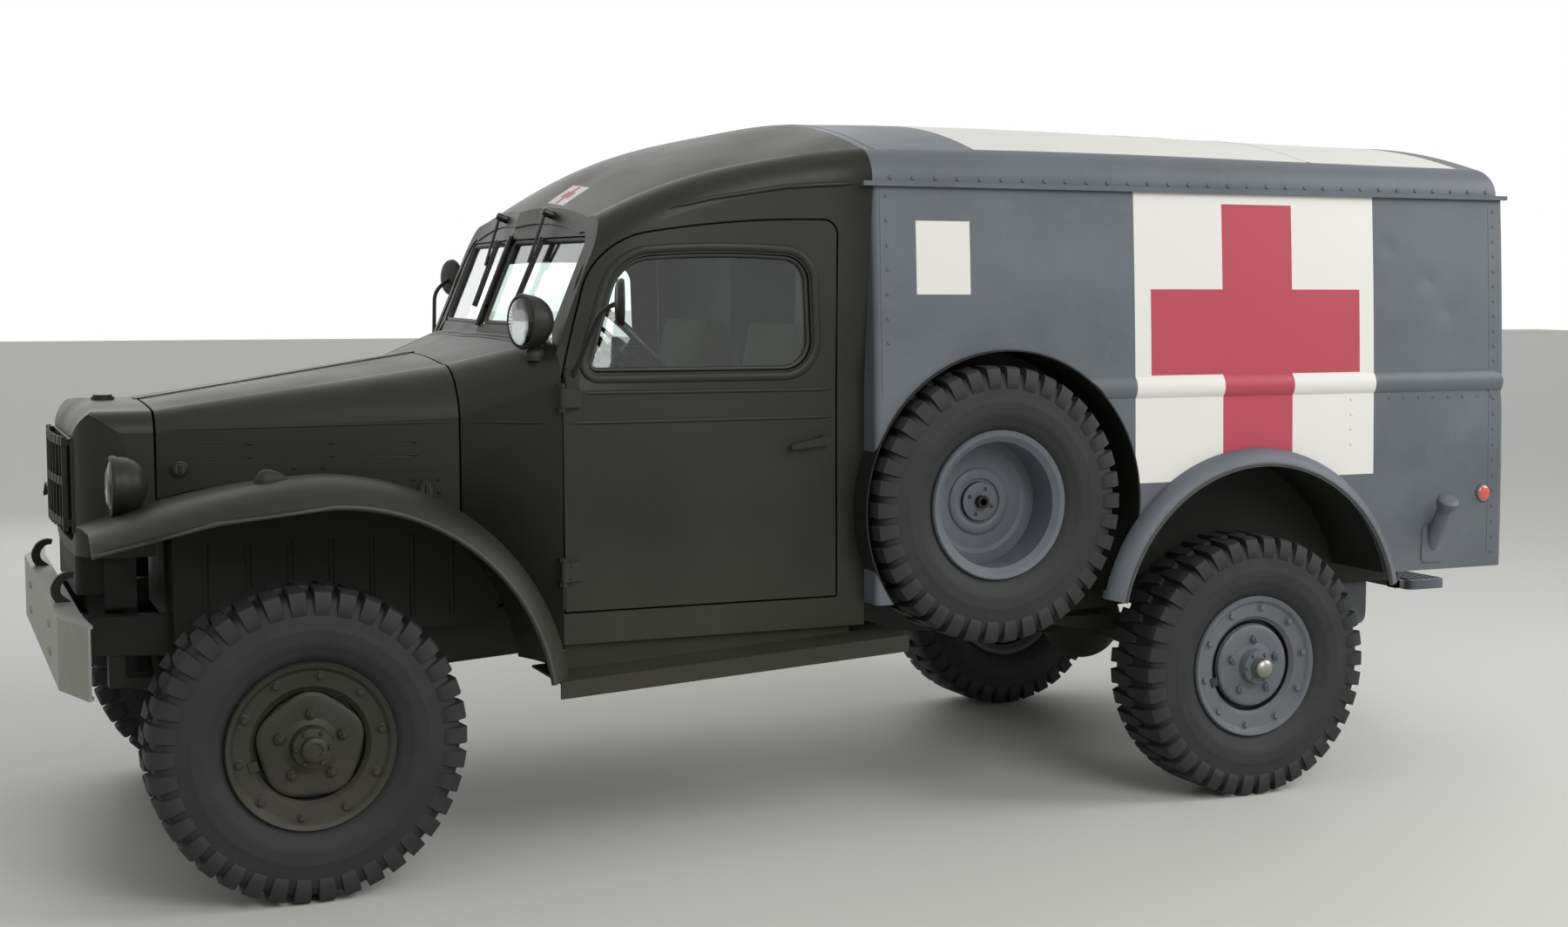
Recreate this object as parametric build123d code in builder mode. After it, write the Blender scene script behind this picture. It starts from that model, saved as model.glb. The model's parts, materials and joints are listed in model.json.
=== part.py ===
from build123d import *
import os
from math import atan2, cos, degrees, radians, sin

# Three-quarter ton four wheel drive ambulance, in millimetres.
# X runs rearwards, Y to the vehicle's right, Z up from the floor.

# Driving dimensions
wheelbase = 3073
overall_length = 4942
front_overhang = 671
track = 1645
tyre_radius = 430
rim_radius = 232
front_axle_x = front_overhang - overall_length / 2
rear_axle_x = front_axle_x + wheelbase
wheel_y = track / 2
axle_z = tyre_radius
shut_gap = 6
pin_gap = 0.1

os.makedirs("parts", exist_ok=True)


def at(x):
    """X of a place that is measured from the front axle."""
    return front_axle_x + x


def save(piece, name):
    """Labels a finished piece and writes it."""
    piece.label = name
    export_step(piece, f"parts/{name}.step")


# Body sections, half of each, measured from the front axle and from the floor:
# x, crown z, shoulder y and z, side y and z, belt y and z, foot y and z
cowl_sections = [
    dict(x=503, crown=1459, shoulder=(400, 1436), side=(596, 1290), belt=(600, 1150), foot=(600, 640)),
    dict(x=745, crown=1538, shoulder=(640, 1512), side=(798, 1395), belt=(806, 1300), foot=(812, 640)),
]
cab_sections = [
    dict(x=700, crown=1775, shoulder=(500, 1735), side=(640, 1660), belt=(790, 1372), foot=(812, 640)),
    dict(x=815, crown=1869, shoulder=(560, 1822), side=(706, 1745), belt=(797, 1372), foot=(812, 640)),
    dict(x=950, crown=1968, shoulder=(620, 1902), side=(752, 1818), belt=(801, 1372), foot=(812, 640)),
    dict(x=1120, crown=2062, shoulder=(660, 1975), side=(778, 1882), belt=(803, 1372), foot=(812, 640)),
    dict(x=1340, crown=2133, shoulder=(695, 2035), side=(790, 1936), belt=(803, 1372), foot=(812, 640)),
    dict(x=1560, crown=2180, shoulder=(725, 2072), side=(800, 1964), belt=(803, 1372), foot=(812, 640)),
    dict(x=1700, crown=2203, shoulder=(766, 2088), side=(853, 1976), belt=(803, 1372), foot=(812, 640)),
]
hood_sections = [
    dict(x=-330, crown=1329, shoulder=(360, 1316), side=(430, 1255), belt=(432, 1150), foot=(436, 960)),
    dict(x=497, crown=1458, shoulder=(400, 1435), side=(596, 1289), belt=(600, 1150), foot=(600, 960)),
]
round_share = 0.41


def body_section(place, inset=0, drop=0):
    """Closed section across the body on its YZ plane, drawn smaller by inset and longer downwards by drop."""
    crown_z = place["crown"] - inset
    shoulder_y, shoulder_z = place["shoulder"][0] - inset * 0.6, place["shoulder"][1] - inset
    side_y, side_z = place["side"][0] - inset, place["side"][1] - inset * 0.6
    belt_y, belt_z = place["belt"][0] - inset, place["belt"][1]
    foot_y, foot_z = place["foot"][0] - inset, place["foot"][1] - drop
    round_y = (shoulder_y + side_y) / 2 * (1 - round_share) + side_y * round_share
    round_z = (shoulder_z + side_z) / 2 * (1 - round_share) + shoulder_z * round_share
    with BuildSketch(Plane.YZ.offset(at(place["x"]))) as section:
        with BuildLine():
            Line((-foot_y, foot_z), (-belt_y, belt_z))
            Line((-belt_y, belt_z), (-side_y, side_z))
            ThreePointArc((-side_y, side_z), (-round_y, round_z), (-shoulder_y, shoulder_z))
            ThreePointArc((-shoulder_y, shoulder_z), (0, crown_z), (shoulder_y, shoulder_z))
            ThreePointArc((shoulder_y, shoulder_z), (round_y, round_z), (side_y, side_z))
            Line((side_y, side_z), (belt_y, belt_z))
            Line((belt_y, belt_z), (foot_y, foot_z))
            Line((foot_y, foot_z), (-foot_y, foot_z))
        make_face()
    return section.sketch


# Front fenders: half sections across, from the tip to the top of the arch, then an arc about Y down to the tail:
# x, lip y and z, crown y and z, root y and z
fender_sections = [
    dict(x=-549, lip=(900, 976), crown=(740, 1016), root=(426, 1000)),
    dict(x=-240, lip=(950, 1054), crown=(785, 1112), root=(445, 1082)),
    dict(x=65, lip=(955, 1085), crown=(800, 1151), root=(500, 1109)),
]
fender_top = fender_sections[-1]
arch_radius = 620
arch_z = fender_top["lip"][1] - arch_radius
fender_tail_z = 556
fender_sheet = 5
fender_turn = 90 - degrees(atan2(fender_tail_z - arch_z, arch_radius))
fender_axis = Axis((at(fender_top["x"]), 0, arch_z), (0, 1, 0))


def fender_section(place, lift=0, depth=0):
    """Section of the left fender's sheet, or of the room under it down to depth, lifted by lift."""
    lip_y, lip_z = -place["lip"][0], place["lip"][1] + lift
    crown_y, crown_z = -place["crown"][0], place["crown"][1] + lift
    root_y, root_z = -place["root"][0], place["root"][1] + lift
    rise = crown_z - lip_z
    flat_y, flat_z = (crown_y + root_y) / 2, crown_z - 0.19 * (crown_z - root_z)
    sheet = fender_sheet
    with BuildSketch(Plane.YZ.offset(at(place["x"]))) as section:
        with BuildLine():
            ThreePointArc((lip_y, lip_z), (lip_y + 55, lip_z + 0.73 * rise), (crown_y, crown_z))
            ThreePointArc((crown_y, crown_z), (flat_y, flat_z), (root_y, root_z))
            if depth:
                Line((root_y, root_z), (root_y, root_z - depth))
                Line((root_y, root_z - depth), (lip_y, root_z - depth))
                Line((lip_y, root_z - depth), (lip_y, lip_z))
            else:
                Line((root_y, root_z), (root_y, root_z - sheet))
                ThreePointArc((root_y, root_z - sheet), (flat_y, flat_z - sheet), (crown_y, crown_z - sheet))
                ThreePointArc(
                    (crown_y, crown_z - sheet),
                    (lip_y + 59, lip_z + 0.73 * rise - sheet),
                    (lip_y + 9, lip_z - 14),
                )
                Line((lip_y + 9, lip_z - 14), (lip_y, lip_z - 14))
                Line((lip_y, lip_z - 14), (lip_y, lip_z))
        make_face()
    return section.sketch


def fender_solid(lift=0, depth=0):
    """Left fender, or the room under it: a loft from the tip to the top, and an arc down to the tail."""
    with BuildPart() as fender:
        loft([fender_section(place, lift, depth) for place in fender_sections])
        revolve(fender_section(fender_top, lift, depth), axis=fender_axis, revolution_arc=fender_turn)
    return fender.part


fender_cut_left = fender_solid(lift=1, depth=560)
fender_clear_left = fender_solid(lift=7, depth=560)

# Cowl: closed box of sheet between hood and cab, open to the cab
cowl_wall = 20
hinge_pin_radius, hinge_barrel_radius, hinge_barrel_half, hinge_lug = 4, 9, 28, 12
door_axis_x, door_axis_y = 739, 828
door_hinge_levels = [852, 1352]


def lug_levels(z):
    """Heights at which the two lugs of a hinge start, a millimetre off its barrel at z."""
    return z - hinge_barrel_half - 1 - hinge_lug, z + hinge_barrel_half + 1


with BuildPart() as cowl_outer:
    loft([body_section(place) for place in cowl_sections])
with BuildPart() as cowl_inner:
    loft([body_section(place, inset=cowl_wall, drop=10) for place in cowl_sections])
with BuildPart() as cowl:
    add(cowl_outer.part)
    add(cowl_inner.part, mode=Mode.SUBTRACT)
    add(fender_cut_left, mode=Mode.SUBTRACT)
    add(fender_cut_left.mirror(Plane.XZ), mode=Mode.SUBTRACT)
    with BuildSketch(Plane.YZ.offset(at(503))) as firewall:
        with BuildLine():
            ThreePointArc((-380, 1412), (0, 1435), (380, 1412))
            Line((380, 1412), (560, 1262))
            Line((560, 1262), (560, 1140))
            Line((560, 1140), (480, 1100))
            Line((480, 1100), (480, 742))
            Line((480, 742), (-480, 742))
            Line((-480, 742), (-480, 1100))
            Line((-480, 1100), (-560, 1140))
            Line((-560, 1140), (-560, 1262))
            Line((-560, 1262), (-380, 1412))
        make_face()
    extrude(amount=8)
    for side in (-1, 1):
        for hinge_z in door_hinge_levels:
            low_lug_z, high_lug_z = lug_levels(hinge_z)
            for lug_z in (low_lug_z, high_lug_z):
                with BuildSketch(Plane.XY.offset(lug_z)):
                    with Locations((at(door_axis_x - 2.5), side * 812)):
                        Rectangle(17, 40)
                    with Locations((at(door_axis_x), side * door_axis_y)):
                        Circle(hinge_barrel_radius)
                extrude(amount=hinge_lug)
            with BuildSketch(Plane.XY.offset(low_lug_z)):
                with Locations((at(door_axis_x), side * door_axis_y)):
                    Circle(hinge_pin_radius)
            extrude(amount=high_lug_z - low_lug_z)
save(cowl.part, "cowl")

# Hood: two halves that lift about a strip along the middle
hood_sheet = 6
hood_gap = 7
hinge_strip_half = 8
hood_axis_y, hood_axis_z, hood_barrel_radius = 18, 1326, 5
latch_rows = [(-270, 1153, 440, 22), (402, 1077, 577, 26)]
with BuildPart() as hood_outer:
    loft([body_section(place) for place in hood_sections])
with BuildPart() as hood_inner:
    loft([body_section(place, inset=hood_sheet, drop=10) for place in hood_sections])
hood_front_x, hood_rear_x = hood_sections[0]["x"], hood_sections[1]["x"]
with BuildPart() as hood_left:
    add(hood_outer.part)
    add(hood_inner.part, mode=Mode.SUBTRACT)
    add(fender_clear_left, mode=Mode.SUBTRACT)
    with BuildSketch(Plane.XZ) as under_foot:
        with BuildLine():
            foot_line = [(place["x"], place["root"][1] + 9) for place in fender_sections]
            low_line = [(foot_line[-1][0], 900), (foot_line[0][0], 900)]
            Polyline(*[(at(x), z) for x, z in foot_line + low_line], close=True)
        make_face()
    extrude(amount=800, both=True, mode=Mode.SUBTRACT)
    with BuildSketch(Plane.XY) as right_side:
        with Locations((at(83), 1000 - hood_axis_y)):
            Rectangle(1000, 2000)
    extrude(amount=1600, mode=Mode.SUBTRACT)
    hood_axis_rise = hood_sections[1]["crown"] - hood_sections[0]["crown"]
    hood_axis_run = Vector(hood_rear_x - hood_front_x, 0, hood_axis_rise)
    barrel_start = Vector(at(hood_front_x), -hood_axis_y, hood_axis_z) + hood_axis_run.normalized() * 10
    barrel_plane = Plane(origin=barrel_start, z_dir=hood_axis_run)
    with BuildSketch(barrel_plane):
        Circle(hood_barrel_radius)
    extrude(amount=hood_axis_run.length - 20)
    for latch_x, latch_z, latch_y, latch_radius in latch_rows:
        with BuildSketch(Plane.XZ.offset(latch_y)):
            with Locations((at(latch_x), latch_z)):
                Circle(latch_radius)
        extrude(amount=15)
with BuildPart() as hood_right:
    mirror(hood_left.part, about=Plane.XZ)
save(hood_left.part, "hood_left")
save(hood_right.part, "hood_right")
hood_rise = hood_sections[1]["crown"] - hood_sections[0]["crown"]

# Nose shell with the hinge strip that runs back to the cowl
nose_rear_x = hood_front_x - hood_gap
nose_front_x = -548
nose_foot_z = 905
nose_wall = 6


def nose_block(inset):
    """Rounded block of the nose, smaller by inset on every side but the rear."""
    front = at(nose_front_x + inset)
    rear = at(nose_rear_x)
    half = 430 - inset
    place = dict(hood_sections[0], x=nose_rear_x, foot=(434, nose_foot_z - inset))
    with BuildPart() as block:
        extrude(body_section(place, inset=inset), amount=-(nose_rear_x - nose_front_x) - 10)
        with BuildSketch(Plane.XY) as plan:
            with BuildLine():
                Line((rear, -half - 20), (rear, half + 20))
                Line((rear, half + 20), (front + 130, half))
                ThreePointArc((front + 130, half), (front + 38, half - 38), (front + 2, half - 140))
                ThreePointArc((front + 2, half - 140), (front - 8, 0), (front + 2, 140 - half))
                ThreePointArc((front + 2, 140 - half), (front + 38, 38 - half), (front + 130, -half))
                Line((front + 130, -half), (rear, -half - 20))
            make_face()
        extrude(amount=1500, mode=Mode.INTERSECT)
        with BuildSketch(Plane.XZ) as side:
            with BuildLine():
                Line((front - 20, 700), (rear + 5, 700))
                Line((rear + 5, 700), (rear + 5, 1332 - inset))
                Line((rear + 5, 1332 - inset), (front + 110, 1331 - inset))
                ThreePointArc((front + 110, 1331 - inset), (front + 30, 1300 - inset), (front, 1230 - inset))
                Line((front, 1230 - inset), (front - 20, 700))
            make_face()
        extrude(amount=600, both=True, mode=Mode.INTERSECT)
    return block.part


nose_solid = nose_block(0)
with BuildPart() as fender_left:
    add(fender_solid())
    add(nose_solid, mode=Mode.SUBTRACT)
with BuildPart() as front_fenders:
    add(fender_left.part)
    mirror(fender_left.part, about=Plane.XZ)
save(front_fenders.part, "front_fenders")

with BuildPart() as nose_shell:
    add(nose_solid)
    add(nose_block(nose_wall), mode=Mode.SUBTRACT)
    with BuildSketch(Plane.YZ.offset(at(nose_front_x - 60))) as grille_opening:
        with Locations((0, 1085)):
            RectangleRounded(620, 290, 60)
    extrude(amount=160, mode=Mode.SUBTRACT)
    with BuildSketch(Plane.XZ) as strip:
        with BuildLine():
            Polyline(
                (at(nose_rear_x - 12), 1320),
                (at(hood_rear_x + 12), 1320 + hood_rise + 5),
                (at(hood_rear_x + 12), 1330 + hood_rise + 5),
                (at(nose_rear_x - 12), 1330),
                close=True,
            )
        make_face()
    extrude(amount=hinge_strip_half, both=True)
    add(cowl_outer.part, mode=Mode.SUBTRACT)
    for cap_radius, cap_height in ((34, 14), (28, 20)):
        with BuildSketch(Plane.XY.offset(1324)) as radiator_cap:
            with Locations((at(-432), 0)):
                Circle(cap_radius)
        extrude(amount=cap_height)
save(nose_shell.part, "nose_shell")

# Radiator block behind the opening
with BuildPart() as radiator:
    with BuildSketch(Plane.YZ.offset(at(-470))) as core:
        with Locations((0, 995)):
            RectangleRounded(640, 530, 20)
    extrude(amount=90)
    with BuildSketch(Plane.YZ.offset(at(-455))) as tank:
        with Locations((0, 1275)):
            Rectangle(420, 40)
    extrude(amount=60)
save(radiator.part, "radiator")

# Brush guard: bent bars between two curved straps, on two legs
guard_centre_x, guard_edge_x = -612, -575
guard_bars = 11
guard_pitch = 58
guard_low_z, guard_high_z = 985, 1250
guard_rod = 7


def guard_x(y):
    """Front to back place of the guard's bowed face at y."""
    half = guard_pitch * (guard_bars - 1) / 2
    return guard_centre_x + (guard_edge_x - guard_centre_x) * (y / half) ** 2


with BuildPart() as brush_guard:
    for z in (guard_low_z, 1120, guard_high_z):
        with BuildSketch(Plane.XY.offset(z - 12)) as strap:
            with BuildLine():
                half = guard_pitch * (guard_bars - 1) / 2 + guard_rod
                ThreePointArc((at(guard_x(half)), -half), (at(guard_centre_x), 0), (at(guard_x(half)), half))
                Line((at(guard_x(half)), half), (at(guard_x(half) + 8), half))
                rear_x = at(guard_x(half) + 8)
                ThreePointArc((rear_x, half), (at(guard_centre_x + 8), 0), (rear_x, -half))
                Line((at(guard_x(half) + 8), -half), (at(guard_x(half)), -half))
            make_face()
        extrude(amount=24)
    for bar in range(guard_bars):
        y = (bar - (guard_bars - 1) / 2) * guard_pitch
        with BuildSketch(Plane.XY.offset(guard_low_z - 25)) as rod:
            with Locations((at(guard_x(y) + 4), y)):
                Rectangle(10, 10)
        extrude(amount=guard_high_z - guard_low_z + 50)
    for side in (-1, 1):
        with BuildSketch(Plane.XZ.offset(-side * 290 - 6)) as leg:
            with BuildLine():
                Polyline((at(-576), 1240), (at(-564), 1240), (at(-563), 788), (at(-577), 788), close=True)
            make_face()
        extrude(amount=12)
save(brush_guard.part, "brush_guard")

# Frame: two channel rails, kicked up at the front, with cross members
rail_y, rail_width, rail_wall = 402, 62, 7
rail_line = [(-617, 640), (620, 560), (1500, 545), (2500, 560), (3250, 600), (4060, 600)]
rail_tops = [(4060, 709), (1500, 709), (620, 700), (200, 720), (-617, 745)]
cross_members = [
    (-440, 60, 660), (-200, 60, 620), (350, 60, 620), (930, 60, 600),
    (1390, 90, 615), (2380, 90, 590), (3450, 90, 615), (4030, 60, 615),
]
cab_mounts = [800, 1450]
cab_floor_z = 730
with BuildPart() as rail_left:
    with BuildSketch(Plane.XZ.offset(rail_y - rail_width / 2)) as web:
        with BuildLine():
            Polyline(*[(at(x), z) for x, z in rail_line + rail_tops], close=True)
        make_face()
    extrude(amount=rail_width)
    with BuildSketch(Plane.XZ.offset(rail_y - rail_width / 2 - 1)) as channel:
        add(web.sketch)
        offset(amount=-rail_wall, mode=Mode.REPLACE)
    extrude(amount=rail_width - rail_wall + 1, mode=Mode.SUBTRACT)
with BuildPart() as frame:
    add(rail_left.part)
    mirror(rail_left.part, about=Plane.XZ)
    for x, depth, z in cross_members:
        with BuildSketch(Plane.XY.offset(z)) as member:
            with Locations((at(x), 0)):
                Rectangle(depth, 2 * (rail_y + rail_width / 2) - 2)
        extrude(amount=70)
    for x in cab_mounts:
        for side in (-1, 1):
            with BuildSketch(Plane.XY.offset(cab_floor_z)):
                with Locations((at(x), side * rail_y)):
                    Rectangle(70, rail_width - 4)
            extrude(amount=-30)
save(frame.part, "frame")

# Front bumper: channel with ends swept back
bumper_low_z, bumper_height, bumper_sheet = 592, 196, 7
with BuildPart() as front_bumper:
    with BuildSketch(Plane.XY.offset(bumper_low_z)) as bumper_plan:
        with BuildLine():
            Polyline(
                (at(-564), -902), (at(-625), -700), (at(-625), 700), (at(-564), 902),
                (at(-550), 880), (at(-561), 700), (at(-561), -700), (at(-550), -880),
                close=True,
            )
        make_face()
    extrude(amount=bumper_height)
    with BuildSketch(Plane.XY.offset(bumper_low_z + bumper_sheet)) as bumper_hollow:
        with BuildLine():
            Polyline(
                (at(-552), -905), (at(-617), -695), (at(-617), 695), (at(-552), 905),
                (at(-540), 905), (at(-540), -905),
                close=True,
            )
        make_face()
    extrude(amount=bumper_height - 2 * bumper_sheet, mode=Mode.SUBTRACT)
save(front_bumper.part, "front_bumper")

# Tow hooks on the rail ends
with BuildPart() as tow_hook_left:
    with BuildSketch(Plane.XZ.offset(400)) as hook:
        with BuildLine():
            Line((at(-600), 788), (at(-562), 788))
            Line((at(-562), 788), (at(-575), 860))
            ThreePointArc((at(-575), 860), (at(-612), 878), (at(-640), 905))
            ThreePointArc((at(-640), 905), (at(-640), 938), (at(-614), 944))
            Line((at(-614), 944), (at(-612), 962))
            ThreePointArc((at(-612), 962), (at(-656), 952), (at(-front_overhang), 915))
            ThreePointArc((at(-front_overhang), 915), (at(-660), 870), (at(-600), 788))
        make_face()
    extrude(amount=24)
with BuildPart() as tow_hooks:
    add(tow_hook_left.part)
    mirror(tow_hook_left.part, about=Plane.XZ)
save(tow_hooks.part, "tow_hooks")

# Rooms of the spare wheel's well and of the rear wheels, as cylinders about Y
spare_x, spare_z, spare_y = 2113, 999, 815
well_x, well_z, well_radius, well_inner_y, well_rim_y = 2150, 992, 480, 662, 896
arch_rear_x, arch_rear_z, arch_rear_radius = 3075, 562, 548
house_inner_y = 632
well_sheet = 5


def drum(x, z, radius, inner_y, outer_y):
    """Left side cylinder about Y."""
    with BuildPart() as cylinder:
        with BuildSketch(Plane.XZ.offset(inner_y)):
            with Locations((at(x), z)):
                Circle(radius)
        extrude(amount=outer_y - inner_y)
    return cylinder.part


spare_room = drum(well_x, well_z, well_radius + well_sheet, well_inner_y - well_sheet, 1000)
wheel_room = drum(arch_rear_x, arch_rear_z, arch_rear_radius + well_sheet, house_inner_y - well_sheet, 1000)

# Cab shell: roof, pillars and sills from one lofted skin
cab_wall = 34
cab_front_x, cab_rear_x = 745, 1700
with BuildPart() as cab_outer:
    loft([body_section(place) for place in cab_sections])
with BuildPart() as cab_inner:
    loft([body_section(place, inset=cab_wall, drop=10) for place in cab_sections])

# Windscreen planes: one each side of a middle post, leaning back and swept
screen_low = (708, 1532)
screen_high = (830, 1829)
screen_sweep = 50 / 640
screen_lean = (screen_high[0] - screen_low[0]) / (screen_high[1] - screen_low[1])


def screen_x(y, z, back=0):
    """Front to back place of the windscreen's outer face, moved rearwards by back."""
    return screen_low[0] + (z - screen_low[1]) * screen_lean + abs(y) * screen_sweep + back


def screen_slab(back, depth, low_z, high_z, inner_y, outer_y):
    """Solid slab along the left windscreen plane, from back to back plus depth."""
    with BuildPart() as slab:
        for z in (low_z, high_z):
            with BuildSketch(Plane.XY.offset(z)):
                with BuildLine():
                    Polyline(
                        (at(screen_x(inner_y, z, back)), -inner_y),
                        (at(screen_x(outer_y, z, back)), -outer_y),
                        (at(screen_x(outer_y, z, back + depth)), -outer_y),
                        (at(screen_x(inner_y, z, back + depth)), -inner_y),
                        close=True,
                    )
                make_face()
        loft(ruled=True)
    return slab.part


screen_front_cut = screen_slab(-500, 500, 1300, 2300, 0, 1100)
with BuildPart() as screen_opening:
    add(screen_slab(-40, 120, 1548, 1822, 16, 640))

# Door outline on the cab's side, from the front axle
door_front_x, door_rear_x, door_low_z = 751, 1604, 735


def door_outline(grow):
    """Closed outline of the door seen from the side, larger by grow."""
    with BuildSketch(Plane.XZ) as outline:
        with BuildLine():
            Line((at(door_front_x), door_low_z), (at(door_front_x), 1395))
            Line((at(door_front_x), 1395), (at(826), 1640))
            ThreePointArc((at(826), 1640), (at(895), 1762), (at(1010), 1822))
            ThreePointArc((at(1010), 1822), (at(1250), 1853), (at(1560), 1866))
            ThreePointArc((at(1560), 1866), (at(1592), 1854), (at(door_rear_x), 1822))
            Line((at(door_rear_x), 1822), (at(door_rear_x), door_low_z))
            Line((at(door_rear_x), door_low_z), (at(door_front_x), door_low_z))
        make_face()
        if grow:
            offset(amount=grow)
    return outline.sketch


with BuildPart() as door_way:
    extrude(door_outline(shut_gap), amount=1100)
with BuildPart() as door_block:
    extrude(door_outline(0), amount=1100)
with BuildPart() as window_way:
    with BuildSketch(Plane.XZ) as window_outline:
        with BuildLine():
            Line((at(860), 1420), (at(1440), 1420))
            ThreePointArc((at(1440), 1420), (at(1502), 1448), (at(1526), 1510))
            Line((at(1526), 1510), (at(1518), 1690))
            ThreePointArc((at(1518), 1690), (at(1492), 1740), (at(1430), 1762))
            ThreePointArc((at(1430), 1762), (at(1240), 1768), (at(1040), 1760))
            ThreePointArc((at(1040), 1760), (at(958), 1735), (at(905), 1665))
            Line((at(905), 1665), (at(836), 1455))
            ThreePointArc((at(836), 1455), (at(838), 1430), (at(860), 1420))
        make_face()
    extrude(amount=1100)

with BuildPart() as cab_shell:
    add(cab_outer.part)
    add(cab_inner.part, mode=Mode.SUBTRACT)
    add(screen_front_cut, mode=Mode.SUBTRACT)
    add(screen_front_cut.mirror(Plane.XZ), mode=Mode.SUBTRACT)
    add(screen_opening.part, mode=Mode.SUBTRACT)
    add(screen_opening.part.mirror(Plane.XZ), mode=Mode.SUBTRACT)
    with BuildSketch(Plane.XY.offset(600)) as below_screen:
        with Locations((at(cab_front_x - 100), 0)):
            Rectangle(200, 1800)
    extrude(amount=925, mode=Mode.SUBTRACT)
    add(cowl_outer.part, mode=Mode.SUBTRACT)
    add(door_way.part, mode=Mode.SUBTRACT)
    add(door_way.part.mirror(Plane.XZ), mode=Mode.SUBTRACT)
    add(spare_room, mode=Mode.SUBTRACT)
save(cab_shell.part, "cab_shell")

# Doors, cut from the same skin
with BuildPart() as door_left:
    add(cab_outer.part)
    add(cab_inner.part, mode=Mode.SUBTRACT)
    add(door_block.part, mode=Mode.INTERSECT)
    add(window_way.part, mode=Mode.SUBTRACT)
    for hinge_z in door_hinge_levels:
        with BuildSketch(Plane.XY.offset(hinge_z - hinge_barrel_half)) as strap:
            with BuildLine():
                Polyline(
                    (at(739), -837), (at(800), -812), (at(800), -782), (at(753), -782), (at(745), -821),
                    close=True,
                )
            make_face()
            with Locations((at(door_axis_x), -door_axis_y)):
                Circle(hinge_barrel_radius)
                Circle(hinge_pin_radius + pin_gap, mode=Mode.SUBTRACT)
        extrude(amount=2 * hinge_barrel_half)
    with BuildSketch(Plane.XZ.offset(790)) as handle_boss:
        with Locations((at(1560), 1208)):
            Circle(16)
    extrude(amount=40)
    with BuildSketch(Plane.XZ.offset(822)) as handle_lever:
        with BuildLine():
            Polyline(
                (at(1576), 1224), (at(1452), 1200), (at(1446), 1192), (at(1452), 1184), (at(1576), 1196),
                close=True,
            )
        make_face()
    extrude(amount=12)
with BuildPart() as door_right:
    mirror(door_left.part, about=Plane.XZ)
save(door_left.part, "door_left")
save(door_right.part, "door_right")

# Door glass: a pane in the middle of each door, a little larger than the opening
with BuildPart() as glass_skin:
    loft([body_section(place, inset=15, drop=5) for place in cab_sections])
with BuildPart() as glass_core:
    loft([body_section(place, inset=20, drop=10) for place in cab_sections])
with BuildPart() as door_glass_left:
    add(glass_skin.part)
    add(glass_core.part, mode=Mode.SUBTRACT)
    add(window_way.part, mode=Mode.INTERSECT)
with BuildPart() as door_glass_right:
    mirror(door_glass_left.part, about=Plane.XZ)
save(door_glass_left.part, "door_glass_left")
save(door_glass_right.part, "door_glass_right")

# Windscreen: a pane each side of the middle post
with BuildPart() as windscreen:
    pane = screen_slab(18, 6, 1548, 1822, 16, 640)
    add(pane)
    mirror(pane, about=Plane.XZ)
    add(cowl_outer.part, mode=Mode.SUBTRACT)
    add(cab_shell.part, mode=Mode.SUBTRACT)
save(windscreen.part, "windscreen")

# Load body: an upright side on an arc, the same arc for its inside
box_front_x, box_rear_x = cab_rear_x, 4117
box_foot_z, box_top_z = 709, 1974
side_wall, end_wall, floor_high = 26, 26, 22
box_side_arc = [(900, box_foot_z), (889, 1300), (853, box_top_z)]
moulding_ends, moulding_z, moulding_high = (2425, 4100), 1350, 74
with BuildPart() as waist_moulding:
    moulding_long = moulding_ends[1] - moulding_ends[0]
    with BuildSketch(Plane.YZ.offset(at(moulding_ends[0]))):
        with BuildLine():
            low, high = moulding_z - moulding_high / 2, moulding_z + moulding_high / 2
            ThreePointArc((-884, low), (-901, moulding_z), (-884, high))
            Polyline((-884, high), (-875, high), (-875, low), (-884, low))
        make_face()
    extrude(amount=moulding_long)
    with BuildSketch(Plane.XZ.offset(870)):
        with Locations((at(sum(moulding_ends) / 2), moulding_z)):
            RectangleRounded(moulding_long, moulding_high, moulding_high / 2 - 1)
    extrude(amount=60, mode=Mode.INTERSECT)
with BuildPart() as box_side_left:
    with BuildSketch(Plane.YZ.offset(at(box_front_x))):
        with BuildLine():
            outer = [(-y, z) for y, z in box_side_arc]
            inner = [(side_wall - y, z) for y, z in box_side_arc]
            ThreePointArc(*outer)
            Line(outer[2], inner[2])
            ThreePointArc(*inner)
            Line(inner[0], outer[0])
        make_face()
    extrude(amount=box_rear_x - box_front_x)
    corners = box_side_left.edges().filter_by(lambda edge: edge.bounding_box().size.X < 1)
    upright = corners.filter_by(lambda edge: edge.length > 1000).sort_by(Axis.Y)[0:2]
    fillet(upright, radius=20)
    add(wheel_room, mode=Mode.SUBTRACT)
    add(waist_moulding.part)
with BuildPart() as box_side_right:
    mirror(box_side_left.part, about=Plane.XZ)
with BuildPart() as box_side_spare:
    add(box_side_left.part)
    add(spare_room, mode=Mode.SUBTRACT)
save(box_side_spare.part, "box_side_left")
save(box_side_right.part, "box_side_right")

# Roof: one crowned skin with a gutter along each side
roof_sections = [
    dict(x=1700, crown=2203, shoulder=(766, 2088)),
    dict(x=2050, crown=2212, shoulder=(770, 2093)),
    dict(x=3000, crown=2206, shoulder=(770, 2090)),
    dict(x=4123, crown=2192, shoulder=(768, 2080)),
]
roof_wall = 24
gutter_start_x = 1664


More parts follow.
